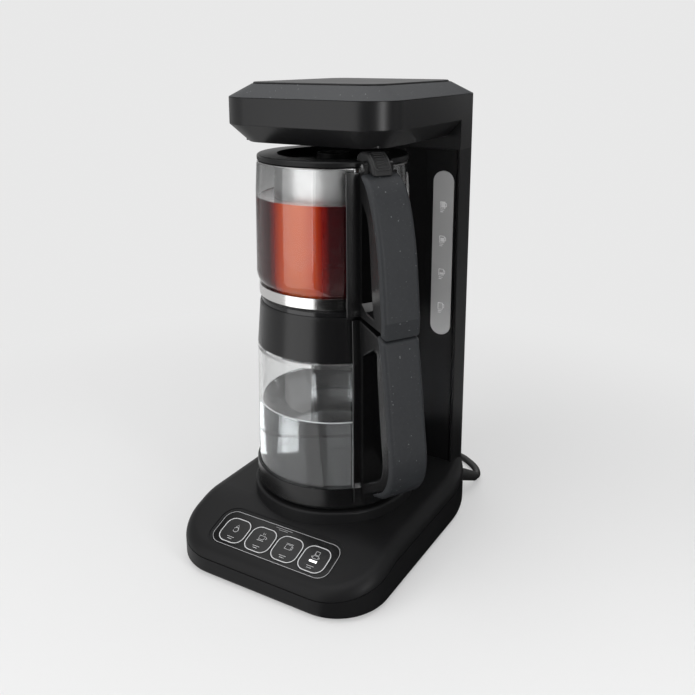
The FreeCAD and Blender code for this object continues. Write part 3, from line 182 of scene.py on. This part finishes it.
# ---------------------------------------------------------------- control panel
# A glossy black plate lies in a shallow border on the sloping deck, with four square push buttons.
# Each button has a printed pale outline and a generic mark; the right one has a lit bar.
deck_turn, deck_bend, deck_top = math.radians(18.0), -40.7, 43.0      # it slopes down in front of the bend
panel_y = -73.0
panel_z = deck_top - (deck_bend - panel_y) * math.tan(deck_turn)
on_deck = Matrix.Translation(Vector((0, panel_y, panel_z)) * mm) @ Matrix.Rotation(deck_turn, 4, "X")
button_pitch, button_count = 27.0, 4
button_top, panel_top = -0.3, -0.6      # both lie below the deck's surface
paint("panel_gloss", moulded((0.0020, 0.0020, 0.0022), 0.14, grain=1e-6, sheen=0.15), "panel_plate")
paint("button_black", moulded((0.0050, 0.0050, 0.0053), 0.24, grain=2e-6, sheen=0.22),
      *["button_%d" % (n + 1) for n in range(button_count)])


def lit(place):
    """Milky lens over a lamp."""
    glow = place.noise(900.0)
    return place.principled(Base_Color=(0.8, 0.8, 0.8, 1), Roughness=0.4 + 0.05 * glow,
                            Emission_Color=(1, 0.98, 0.94, 1), Emission_Strength=1.1)


paint("lit_bar", lit, "indicator_lens")


def deselect():
    if bpy.context.object and bpy.context.object.mode != "OBJECT":
        bpy.ops.object.mode_set(mode="OBJECT")
    bpy.ops.object.select_all(action="DESELECT")


def settle(piece, name, place=None):
    """Names the active piece, moves it to its place and puts that place into its mesh."""
    deselect()
    piece.name = piece.data.name = name
    piece.select_set(True)
    bpy.context.view_layer.objects.active = piece
    if place is not None:
        piece.matrix_world = place @ piece.matrix_world
    bpy.ops.object.transform_apply(location=True, rotation=True, scale=True)
    return piece


def outline(width, depth, radius, line, thick):
    """Thin printed frame: a plane with rounded corners, inset, its middle taken out, then thickened."""
    deselect()
    bpy.ops.mesh.primitive_plane_add(size=1)
    piece = bpy.context.object
    piece.scale = (width * mm, depth * mm, 1)
    bpy.ops.object.transform_apply(scale=True)
    bpy.ops.object.mode_set(mode="EDIT")
    bpy.ops.mesh.bevel(offset=radius * mm, segments=8, affect="VERTICES", offset_type="OFFSET")
    bpy.ops.mesh.select_all(action="SELECT")
    bpy.ops.mesh.inset(thickness=line * mm, depth=0)
    bpy.ops.mesh.delete(type="FACE")
    bpy.ops.mesh.select_all(action="SELECT")
    bpy.ops.mesh.extrude_region_move(TRANSFORM_OT_translate={"value": (0, 0, thick * mm)})
    bpy.ops.mesh.select_all(action="SELECT")
    bpy.ops.mesh.normals_make_consistent(inside=False)
    bpy.ops.object.mode_set(mode="OBJECT")
    return piece


def strokes(lines, width, thick, round_steps=0):
    """Drawn mark: flattened ribbons along lists of points in millimetres, flat or in space."""
    curve = bpy.data.curves.new("mark", "CURVE")
    curve.dimensions = "3D"
    for points in lines:
        spline = curve.splines.new("POLY")
        spline.points.add(len(points) - 1)
        for point, place in zip(spline.points, points):
            point.co = (*[c * mm for c in (*place, 0)[:3]], 1)
    curve.bevel_depth = width * mm / 2
    curve.bevel_resolution = round_steps
    piece = bpy.data.objects.new("mark", curve)
    bpy.context.collection.objects.link(piece)
    deselect()
    piece.select_set(True)
    bpy.context.view_layer.objects.active = piece
    bpy.ops.object.convert(target="MESH")
    piece = bpy.context.object
    piece.scale = (1, 1, thick / width)
    bpy.ops.object.transform_apply(scale=True)
    return piece


def arc(x, y, r, start, end, count=14):
    """Points along an arc round x, y; the angles are in degrees."""
    turn = [math.radians(start + (end - start) * k / count) for k in range(count + 1)]
    return [(x + r * math.cos(a), y + r * math.sin(a)) for a in turn]


def printed(shade):
    """Ink that is slightly worn."""
    def surface(place):
        worn = place.noise(1100.0, 3.0)
        faded = [0.8 * c for c in shade]
        return place.principled(Base_Color=worn.mix(faded, shade), Roughness=0.45 + 0.1 * worn)
    return surface


print_t = 0.06
mark_t = 1.6 * print_t
dashes = [[(-3.4, -6.9), (3.4, -6.9)], [(-2.2, -8.7), (2.2, -8.7)]]
drop = [arc(0, 1.0, 2.4, 200, 520), [(-1.6, 2.9), (0, 6.2), (1.6, 2.9)]]
steaming_cup = [[(-3, 4), (-2.4, 0.4), (2.0, 0.4), (2.6, 4), (-3, 4)], arc(3.2, 2.4, 1.2, -70, 80, 8),
                [(-3.4, -0.9), (3.0, -0.9)], [(-0.8, 5.3), (-0.8, 7.0)], [(0.8, 5.3), (0.8, 7.0)]]
jug = [[(-2.8, 0), (-2.8, 4.4), (2.8, 4.4), (2.8, 0), (-2.8, 0)],
       [(2.8, 3.6), (4.2, 3.2), (3.8, 0.6), (2.8, 0.6)], [(-3.4, 5.4), (3.4, 5.4)]]
stacked_pots = [[(-1.9, 4.0), (-1.7, 7.4), (1.7, 7.4), (1.9, 4.0), (-1.9, 4.0)],
                [(-2.6, 0.4), (-2.3, 3.2), (2.3, 3.2), (2.6, 0.4), (-2.6, 0.4)],
                [(-3.6, 2.6), (-3.2, 1.0)], [(3.2, 2.6), (3.6, 1.0)]]
border_side, border_corner, border_width = 24.8, 8.2, 0.75
for n, symbol in enumerate((drop, steaming_cup, jug, stacked_pots)):
    x = (n - (button_count - 1) / 2) * button_pitch
    at = on_deck @ Matrix.Translation(Vector((x, 0, button_top)) * mm)
    border = settle(outline(border_side, border_side, border_corner, border_width, print_t),
                    "button_%d_outline" % (n + 1), at)
    mark = settle(strokes(symbol + dashes, width=0.42, thick=mark_t), "button_%d_mark" % (n + 1),
                  at @ Matrix.Translation((0, 0, print_t * mm / 2)))
    for piece, name, shade in ((border, "outline", (0.62, 0.62, 0.63)),
                               (mark, "mark", (0.72, 0.72, 0.73))):
        paint("print_%s_%d" % (name, n + 1), printed(shade), piece)
        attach(piece, "button_%d" % (n + 1))
        "button_%d" % (n + 1)
rim_width, rim_depth, rim_corner, rim_y = 117.0, 34.4, 10.2, 1.75
rim = settle(outline(rim_width, rim_depth, rim_corner, line=0.40, thick=print_t), "panel_outline",
             on_deck @ Matrix.Translation(Vector((0, rim_y, panel_top)) * mm))
plain_lines = [[(-8.5, 16.6), (8.5, 16.6)], [(-4.5, 15.0), (4.5, 15.0)]]
label = settle(strokes(plain_lines, width=0.4, thick=mark_t), "panel_label",
               on_deck @ Matrix.Translation(Vector((0, 0, panel_top + print_t / 2)) * mm))
paint("print_rim", printed((0.42, 0.42, 0.43)), rim, label)
for piece in (rim, label):
    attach(piece, "base")

# ---------------------------------------------------------------- electronics
# Under the deck sit a lacquered control board with four tactile switches and a cream terminal block.
# They are hidden in use and get plain workshop finishes.
paint("board_green", moulded((0.012, 0.07, 0.03), 0.35, sheen=0.5), "control_board")
paint("switch_black", moulded((0.02, 0.02, 0.02), 0.5), "tact_switches")
paint("ceramic_cream", moulded((0.62, 0.60, 0.54), 0.5), "terminal_block")

# ---------------------------------------------------------------- tower
# The tower is a black U-shaped moulding closed by a dished front panel; a clear tank stands inside it.
# A pill-shaped window in the panel shows the water level, with four small printed cup marks.
paint("tower_black", moulded((0.0070, 0.0070, 0.0074), 0.42, sheen=0.16), "tower_shell")
paint("tower_front_black", moulded((0.0045, 0.0045, 0.0048), 0.45, grain=2e-6, sheen=0.2), "tower_front")


def smoked(place):
    """Frosted grey window."""
    cloud = place.noise(40.0, 2.0)
    return place.principled(Base_Color=cloud.mix((0.36, 0.36, 0.36), (0.42, 0.42, 0.42)), Roughness=0.32,
                            Specular_IOR_Level=0.5)


paint("window_smoked", smoked, "level_window")


def glass(tint, rough=0.0):
    """Clear glass or plastic that lets lamp light through."""
    def surface(place):
        clear = place.principled(Base_Color=(*tint, 1), Roughness=rough, IOR=1.47, Transmission_Weight=1.0)
        hollow = place.make("ShaderNodeBsdfTransparent", {}, {"Color": (*tint, 1)})
        shadow = place.make("ShaderNodeLightPath", pick="Is Shadow Ray")
        return place.make("ShaderNodeMixShader", {}, {0: shadow, 1: clear, 2: hollow})
    return surface


paint("tank_clear", glass((0.93, 0.95, 0.96), 0.05), "water_tank")
paint("hose_white", moulded((0.55, 0.55, 0.53), 0.5), "suction_hose", "riser_pipe")
paint("pump_white", moulded((0.50, 0.50, 0.48), 0.45), "pump")
paint("cradle_rubber", moulded((0.012, 0.012, 0.012), 0.7), "pump_cradle")

window_x, window_face = 64.0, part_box("level_window")[0].y / mm
stand_off = 0.02
facing = Matrix.Rotation(math.radians(90), 4, "X")
cup = [[(-2.6, 3.0), (-2.6, -3.0), (2.0, -3.0), (2.0, 3.0), (-2.6, 3.0)],
       [(2.0, 2.0), (3.4, 1.6), (3.4, -1.0), (2.0, -1.4)], [(-2.6, -4.6), (1.4, -4.6)],
       [(-2.6, -6.2), (0.4, -6.2)]]
cup_floor, cup_step = -2.2, 1.5
for k, height in enumerate((200.0, 233.0, 264.5, 296.5)):
    fill = cup_floor + cup_step * (k + 0.4)      # the lowest cup is empty
    hatching = [[(x, cup_floor), (x, fill)] for x in (-1.4, -0.5, 0.4, 1.3)] if k else []
    mark = settle(strokes(cup + hatching, width=0.9, thick=0.12), "level_mark_%d" % (k + 1),
                  Matrix.Translation(Vector((window_x, window_face - stand_off, height)) * mm) @ facing)
    paint("level_print_%d" % (k + 1), printed((0.85, 0.85, 0.85)), mark)
    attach(mark, "base")

# ---------------------------------------------------------------- head
# The head is a black moulding with a tapered underside; a speckled band slopes up to the filling lid.
# Under the lid lie the filling tray and the pipe to the spout nozzle over the teapot.
paint("head_black", moulded((0.0070, 0.0070, 0.0074), 0.34, sheen=0.28), "head_shell")
paint("lid_black", moulded((0.0085, 0.0085, 0.0090), 0.42, sheen=0.12), "fill_lid")
paint("tray_black", moulded((0.012, 0.012, 0.012), 0.55), "fill_tray", "spout_nozzle")


def speckled(place):
    """Dark blue-grey plastic with fine mottling and sparse pale specks."""
    shade = (0.0180, 0.0194, 0.0216)
    mottle = place.noise(320.0, 4.0, 0.6)
    base = mottle.mix([0.72 * c for c in shade], [1.28 * c for c in shade])
    for scale, bare, pale in ((260.0, 0.58, (0.20, 0.205, 0.21)), (480.0, 0.55, (0.085, 0.088, 0.092))):
        away, seed = [place.make("ShaderNodeTexVoronoi", {"feature": "F1"},
                                 {"Vector": place, "Scale": scale, "Randomness": 1.0}, pick)
                      for pick in ("Distance", "Color")]
        chance = seed.make("ShaderNodeSeparateColor", {}, {"Color": seed})
        speck = (away < 0.055 + 0.05 * chance) * (chance > bare)
        base = speck.mix(base, pale)
    fine = place.noise(1800.0, 2.0)
    return place.principled(Base_Color=base, Roughness=0.55 + 0.1 * (mottle - 0.5), Specular_IOR_Level=0.26,
                            Normal=fine.bump(1.2e-5))


paint("band_speckled", speckled, "head_band")

# ---------------------------------------------------------------- kettle
# A glass body is bonded into a black foot ring with the heater, steel floor and connector under it.
# A black collar with a pouring nose closes its top, with a glossy seal that the teapot stands on.
paint("foot_black", moulded((0.0050, 0.0050, 0.0053), 0.22, grain=3e-6, sheen=0.5), "kettle_base")
paint("collar_black", moulded((0.0050, 0.0050, 0.0053), 0.26, grain=3e-6, sheen=0.36), "kettle_collar")
paint("seal_gloss", moulded((0.0080, 0.0080, 0.0085), 0.14, grain=2e-6, sheen=0.5), "kettle_rim_seal")
paint("floor_steel", steel((0.36, 0.36, 0.36), 0.16, 60.0), "kettle_floor")
paint("heater_cast", steel((0.70, 0.70, 0.70), 0.45, 500.0), "kettle_heater")
paint("pot_glass", glass((0.985, 0.99, 0.99)), "kettle_glass", "teapot_glass")

pot_axis = Vector((0, 25.5, 0)) * mm
handle_turn = math.radians(-30)      # the handles and the thumb tab point this way from +X
on_pots = Matrix.Translation(pot_axis) @ Matrix.Rotation(handle_turn, 4, "Z")
facets = 96


def turned(profile, name):
    """Spins a profile of (radius, height) in millimetres, from axis to axis, about the pots' axis."""
    deselect()
    bpy.ops.mesh.primitive_circle_add(vertices=len(profile), radius=1, fill_type="NOTHING")
    piece = bpy.context.object
    for vertex, (r, z) in zip(piece.data.vertices, profile):
        vertex.co = (r * mm, 0, z * mm)
    bpy.ops.object.mode_set(mode="EDIT")
    bpy.ops.mesh.select_all(action="SELECT")
    bpy.ops.mesh.spin(steps=facets, angle=2 * math.pi, center=(0, 0, 0), axis=(0, 0, 1))
    bpy.ops.mesh.select_all(action="SELECT")
    bpy.ops.mesh.remove_doubles(threshold=1e-6)
    bpy.ops.mesh.normals_make_consistent(inside=False)
    bpy.ops.object.mode_set(mode="OBJECT")
    bpy.ops.object.shade_smooth_by_angle(angle=math.radians(35))
    return settle(piece, name, on_pots)


water_low, water_taper, water_top, water_r, water_ior = 72.6, 96.0, 133.0, 66.4, 1.33
water = turned([(0, water_low), (water_r, water_low), (water_r, water_taper), (65.9, water_top),
                (65.0, water_top - 0.5), (63.0, water_top - 0.9), (0, water_top - 1.0)], "kettle_water")


def clear_water(place):
    return place.principled(Base_Color=(0.97, 0.98, 0.985, 1), Roughness=0.0, IOR=water_ior,
                            Transmission_Weight=1.0)


def absorbing(tint, density):
    """Depth of a liquid, which takes out light along its way."""
    def inside(place):
        return place.make("ShaderNodeVolumeAbsorption", {}, {"Color": (*tint, 1), "Density": density})
    return inside


paint("water_clear", clear_water, water, volume=absorbing((0.60, 0.63, 0.65), 3.0))
edge_r, edge_bead, edge_z = 65.2, 0.55, water_top - 0.2
deselect()
bpy.ops.mesh.primitive_torus_add(major_segments=facets, minor_segments=8, major_radius=edge_r * mm,
                                 minor_radius=edge_bead * mm, location=(0, 0, edge_z * mm))
bpy.ops.object.shade_smooth()
water_edge = settle(bpy.context.object, "kettle_water_edge", on_pots)


def painted_edge_highlight(place):
    """Bead where the water climbs the glass, painted pale grey as a highlight."""
    highlight_ripple = place.noise(60.0)
    return place.principled(Base_Color=highlight_ripple.mix((0.55, 0.56, 0.57), (0.75, 0.76, 0.77)), Roughness=0.12,
                            IOR=water_ior, Transmission_Weight=0.35)


paint("water_rim_painted_highlight", painted_edge_highlight, water_edge)
for piece in (water, water_edge):
    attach(piece, "kettle")

# ---------------------------------------------------------------- handles
# Each pot has an open black frame that hugs its glass; a speckled soft grip is snapped over its back.
# The grips are crowned across their width and rounded along their edges.
paint("frame_black", moulded((0.0050, 0.0050, 0.0053), 0.24, grain=4e-6, sheen=0.5),
      "kettle_handle_frame", "teapot_handle_frame")
paint("grip_speckled", speckled, "kettle_grip", "teapot_grip")

# ---------------------------------------------------------------- teapot
# The glass stands in a bright steel foot ring; tea fills it round a perforated steel infuser.
# The infuser hangs by its brim from the mouth of the glass.
round_the_pot = (0.03, 0.03, 1.0)      # brush marks
paint("ring_steel", steel((0.80, 0.79, 0.78), 0.16, 1200.0, round_the_pot), "teapot_ring")
paint("infuser_steel", steel((0.38, 0.38, 0.38), 0.34, 1200.0, round_the_pot), "infuser")
tea_low, tea_top = 235.2, 315.0
tea = turned([(0, tea_low), (54.4, tea_low), (57.2, 237.7), (59.8, 239.7), (61.5, 241.7), (62.8, 243.7),
              (63.7, 245.7), (64.3, 247.7), (64.6, 250.0), (64.6, 254.0), (63.8, tea_top),
              (62.9, tea_top - 0.5), (61.0, tea_top - 0.9), (0, tea_top - 1.0)], "teapot_tea")
# The tea's colour is painted lighter on this side, as a glow of lamp light fixed to the pot.
painted_glow_side = math.radians(4.0)      # from the front toward the right
deep, red = (0.030, 0.002, 0.003), (0.18, 0.006, 0.004)
painted_glow_amber, painted_glow_pale = (0.46, 0.055, 0.010), (0.56, 0.12, 0.04)


def brewed_with_painted_glow(place):
    """Black tea: nearly opaque, dark red, with a painted orange glow on the side toward the key light."""
    from_axis = place.make("ShaderNodeVectorMath", {"operation": "SUBTRACT"}, {0: place, 1: pot_axis})
    flat = place.make("ShaderNodeVectorMath", {"operation": "MULTIPLY"}, {0: from_axis, 1: (1, 1, 0)})
    out = place.make("ShaderNodeVectorMath", {"operation": "NORMALIZE"}, {0: flat})
    toward = (math.sin(painted_glow_side), -math.cos(painted_glow_side), 0)
    nearness = place.make("ShaderNodeVectorMath", {"operation": "DOT_PRODUCT"}, {0: out, 1: toward}, "Value")
    # Painted glow: the colour runs from the tea's own dark red to pale orange toward the lit side.
    painted_glow_share = place.make("ShaderNodeMapRange", {}, {"Value": nearness, "From Min": 0.905, "From Max": 0.998})
    stops = [(0.0, deep), (0.40, red), (0.75, painted_glow_amber), (1.0, painted_glow_pale)]
    tint = place.make("ShaderNodeValToRGB", {"stops": stops}, {"Fac": painted_glow_share})
    return place.principled(Base_Color=tint, Roughness=0.0, IOR=water_ior, Transmission_Weight=0.45)


paint("tea_red_painted_glow", brewed_with_painted_glow, tea, volume=absorbing((0.45, 0.10, 0.02), 110.0))
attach(tea, "teapot")

# ---------------------------------------------------------------- teapot lid
# The lid is a black dish with an open chimney under the spout; a ribbed thumb tab opens it.
# A silicone ring seals the dish in the infuser's mouth.
paint("lid_dish_black", moulded((0.0070, 0.0070, 0.0073), 0.36, sheen=0.16), "teapot_lid")
paint("tab_black", moulded((0.0130, 0.0130, 0.0134), 0.5, grain=2e-5, sheen=0.25), "thumb_tab")
paint("silicone_grey", moulded((0.35, 0.35, 0.34), 0.6), "lid_seal")
tab_curve = [(70.4, 356.6), (72.3, 355.7), (74.2, 354.35), (75.95, 352.6), (77.55, 350.7), (78.9, 348.7),
             (80.05, 346.5), (80.95, 344.3)]      # radius and height, down the tab's face to its tip
rib_half, corner_half, rail_half, rib_width = 4.6, 6.2, 6.9, 1.1
ribs = [[(r, -rib_half, z), (r, rib_half, z)] for r, z in tab_curve[1:-1]]
rails = [[(r, side * rail_half, z) for r, z in tab_curve[1:-1]] for side in (-1, 1)]
ends = [[(r, -rib_half, z), (r, rib_half, z)] for r, z in (tab_curve[0], tab_curve[-1])]
corners = []
for side in (-1, 1):
    for (end_r, end_z), (r, z) in ((tab_curve[0], tab_curve[1]), (tab_curve[-1], tab_curve[-2])):
        midway = (0.5 * (end_r + r), side * corner_half, 0.5 * (end_z + z))
        corners.append([(end_r, side * rib_half, end_z), midway, (r, side * rail_half, z)])
ribbing = strokes(ribs + rails + ends + corners, rib_width, rib_width, round_steps=2)
grip_ribs = settle(ribbing, "thumb_tab_ribs", on_pots)
paint("rib_black", moulded((0.0150, 0.0150, 0.0154), 0.36, grain=1e-5), grip_ribs)
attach(grip_ribs, "teapot_lid")

# ---------------------------------------------------------------- mains lead
# A 7 mm flexible lead leaves the rear wall through a tapered relief and lies wound in a coil behind.
# It is wound inward on the table and outward again on top, and ends in a generic round two-pin plug.
cord_r, coil_r, pitch = 3.5, 38.5, 7.1
coil_x, coil_y = -24.0, 212.0
low, high = cord_r + 0.1, cord_r + 0.1 + pitch      # its middle in the lower and the upper layer
outer, inner = coil_r + pitch / 2, coil_r - pitch / 2
spread = 1 / 0.975      # control points of a smooth turn lie this much outside it
exit_point, exit_way = Vector((83.3, 133.0, 21.0)), Vector((0.3004, 0.8511, -0.4306))
# The first two points lie inside the relief.
route = [exit_point - 28.0 * exit_way, exit_point - 20.0 * exit_way, (89.3, 150.0, 12.4),
         (87.5, 167.0, 4.4), (78.0, 184.0, low), (50.0, 202.0, low), (18.0, 190.0, low)]


def coil_shape(angle):
    """Radius and height of the coil at an angle travelled, in degrees: in, then up, then out again."""
    def ease(start, end):
        t = min(max((angle - start) / (end - start), 0), 1)
        return t * t * (3 - 2 * t)
    r = outer + (inner - outer) * (ease(270, 360) - ease(900, 990))
    return r * spread, low + (high - low) * ease(540, 630)


coil_start, coil_turned, coil_step = -60, 1200, 30
for angle in range(0, coil_turned + 1, coil_step):
    r, z = coil_shape(angle)
    a = math.radians(coil_start - angle)
    route.append((coil_x + r * math.cos(a), coil_y + r * math.sin(a), z))
plug_x, plug_y, plug_z = coil_x - outer, coil_y + 52, 17.0
route += [(plug_x, coil_y + 24, high + 0.6), (plug_x, coil_y + 38, plug_z - 1.5), (plug_x, plug_y, plug_z)]
line = bpy.data.curves.new("mains_lead", "CURVE")
line.dimensions = "3D"
spline = line.splines.new("NURBS")
spline.points.add(len(route) - 1)
for point, place in zip(spline.points, route):
    point.co = (*[c * mm for c in place], 1)
spline.order_u = 3
spline.use_endpoint_u = True
spline.resolution_u = 8
line.bevel_depth = cord_r * mm
line.bevel_resolution = 5
line.use_fill_caps = True
lead = bpy.data.objects.new("mains_lead", line)
bpy.context.collection.objects.link(lead)
paint("cord_black", moulded((0.012, 0.012, 0.012), 0.5, grain=1e-5), lead, "power_cord", "cord_coil")
paint("plug_black", moulded((0.012, 0.012, 0.012), 0.5), "plug_body", "strain_relief")
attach(lead, "base")
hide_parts("power_cord", "cord_coil")

# ---------------------------------------------------------------- stage
# A pale seamless floor, a large soft light from the left, one from above and a strip from the right.
# White and black cards stand round the machine, where only its reflections show them. The camera looks
# down on it from the right.
deselect()
bpy.ops.mesh.primitive_plane_add(size=12, location=(0, 0, 0))
floor = settle(bpy.context.object, "floor")
pale = 0.81


def seamless(place):
    """Floor that takes shadows near the machine and runs out into the even backdrop."""
    away = place.make("ShaderNodeVectorMath", {"operation": "LENGTH"}, {0: place}, "Value")
    fade = place.make("ShaderNodeMapRange", {"interpolation_type": "SMOOTHSTEP"},
                      {"Value": away, "From Min": 0.25, "From Max": 0.70, "To Min": 0.45})
    near = place.make("ShaderNodeBsdfDiffuse", {}, {"Color": (0.80, 0.80, 0.80, 1)})
    far = place.make("ShaderNodeEmission", {}, {"Color": (pale, pale, pale, 1)})
    seen = place.make("ShaderNodeLightPath", pick="Is Camera Ray")
    return place.make("ShaderNodeMixShader", {}, {0: fade * seen, 1: near, 2: far})


paint("floor_pale", seamless, floor)
scene = bpy.context.scene
world = bpy.data.worlds.new("studio")
scene.world = world
world.use_nodes = True
world.node_tree.nodes.clear()
seen, through, mirrored = [Socket.node(world.node_tree, "ShaderNodeLightPath", pick=kind)
                           for kind in ("Is Camera Ray", "Is Transmission Ray", "Is Glossy Ray")]
ambient = 0.15
level = ambient + (pale - ambient) * (seen + through + mirrored > 0.5)
sky = Socket.node(world.node_tree, "ShaderNodeBackground", {}, {"Color": (1, 1, 1, 1), "Strength": level})
world_out = world.node_tree.nodes.new("ShaderNodeOutputWorld")
world.node_tree.links.new(sky.out, world_out.inputs["Surface"])


def softbox(name, place, aim, width, height, power):
    light = bpy.data.lights.new(name, "AREA")
    light.shape, light.size, light.size_y, light.energy = "RECTANGLE", width, height, power
    lamp = bpy.data.objects.new(name, light)
    bpy.context.collection.objects.link(lamp)
    lamp.location = place
    lamp.rotation_euler = (Vector(aim) - Vector(place)).to_track_quat("-Z", "Y").to_euler()


softbox("key_left", (-0.34, -0.887, 0.62), (0, 0, 0.5), 1.05, 1.3, 9.5)
softbox("overhead", (-0.1, 0.0, 1.6), (-0.1, 0.001, 0), 2.0, 2.0, 22)
softbox("strip_right", (0.71, -0.27, 0.35), (0, 0, 0.3), 0.16, 0.7, 3.0)


def reflected(card, name, place):
    """Settles a card that only reflections see."""
    card = settle(card, name, place)
    card.visible_camera = card.visible_diffuse = card.visible_transmission = card.visible_shadow = False
    return card


def flag(name, turn, width=0.125):
    """Card that stands round the machine, at an angle in degrees from the front."""
    height, away = 0.6, 0.36
    deselect()
    bpy.ops.mesh.primitive_plane_add(size=1, rotation=(math.radians(90), 0, 0))
    card = bpy.context.object
    card.scale = (width, height, 1)
    bpy.ops.object.transform_apply(rotation=True, scale=True)
    stand = Matrix.Rotation(math.radians(turn), 4, "Z") @ Matrix.Translation((0, -away, height / 2))
    return reflected(card, name, stand)


def flock(place):
    """Black velvet."""
    fine = place.noise(500.0)
    return place.principled(Base_Color=fine.mix((0.001, 0.001, 0.001), (0.002, 0.002, 0.002)),
                            Roughness=0.9, Specular_IOR_Level=0.0)


def white_card(glow):
    """Card that looks lit, with a strength of its own."""
    def surface(place):
        fine = place.noise(3.0)
        return place.principled(Base_Color=(0, 0, 0, 1), Roughness=0.9 + 0.05 * fine, Specular_IOR_Level=0.0,
                                Emission_Color=(1, 1, 1, 1), Emission_Strength=glow)
    return surface


cards = [flag("flag_right_%d" % turn, turn) for turn in (15, 31, 47, 92)]
cards += [flag("flag_side_%d" % turn, turn, width=0.07) for turn in (124, 144, 164)]
deselect()
bpy.ops.mesh.primitive_plane_add(size=1)
bpy.context.object.scale = (0.60, 0.95, 1)
beside = Matrix.Translation((0.36, -0.17, 0.001))
cards.append(reflected(bpy.context.object, "flag_floor", beside))
paint("flag_black", flock, *cards)
for name, turn, width, glow in (("card_front", -20, 0.30, 1.9), ("card_left", -72, 0.42, 0.6)):
    card = flag(name, turn, width)
    paint(name, white_card(glow), card)
    cards.append(card)

camera = bpy.data.cameras.new("camera")
camera.sensor_width, camera.lens = 36.0, 41.532
camera.shift_x, camera.shift_y = -0.01228, -0.14
viewer = bpy.data.objects.new("camera", camera)
bpy.context.collection.objects.link(viewer)
viewer.location = Vector((357.16, -552.18, 428.94)) * mm
looks_down, turned_right = math.radians(13.600), math.radians(30.074)
viewer.rotation_euler = (math.radians(90) - looks_down, 0, turned_right)
scene.camera = viewer
scene.view_settings.view_transform = "Standard"
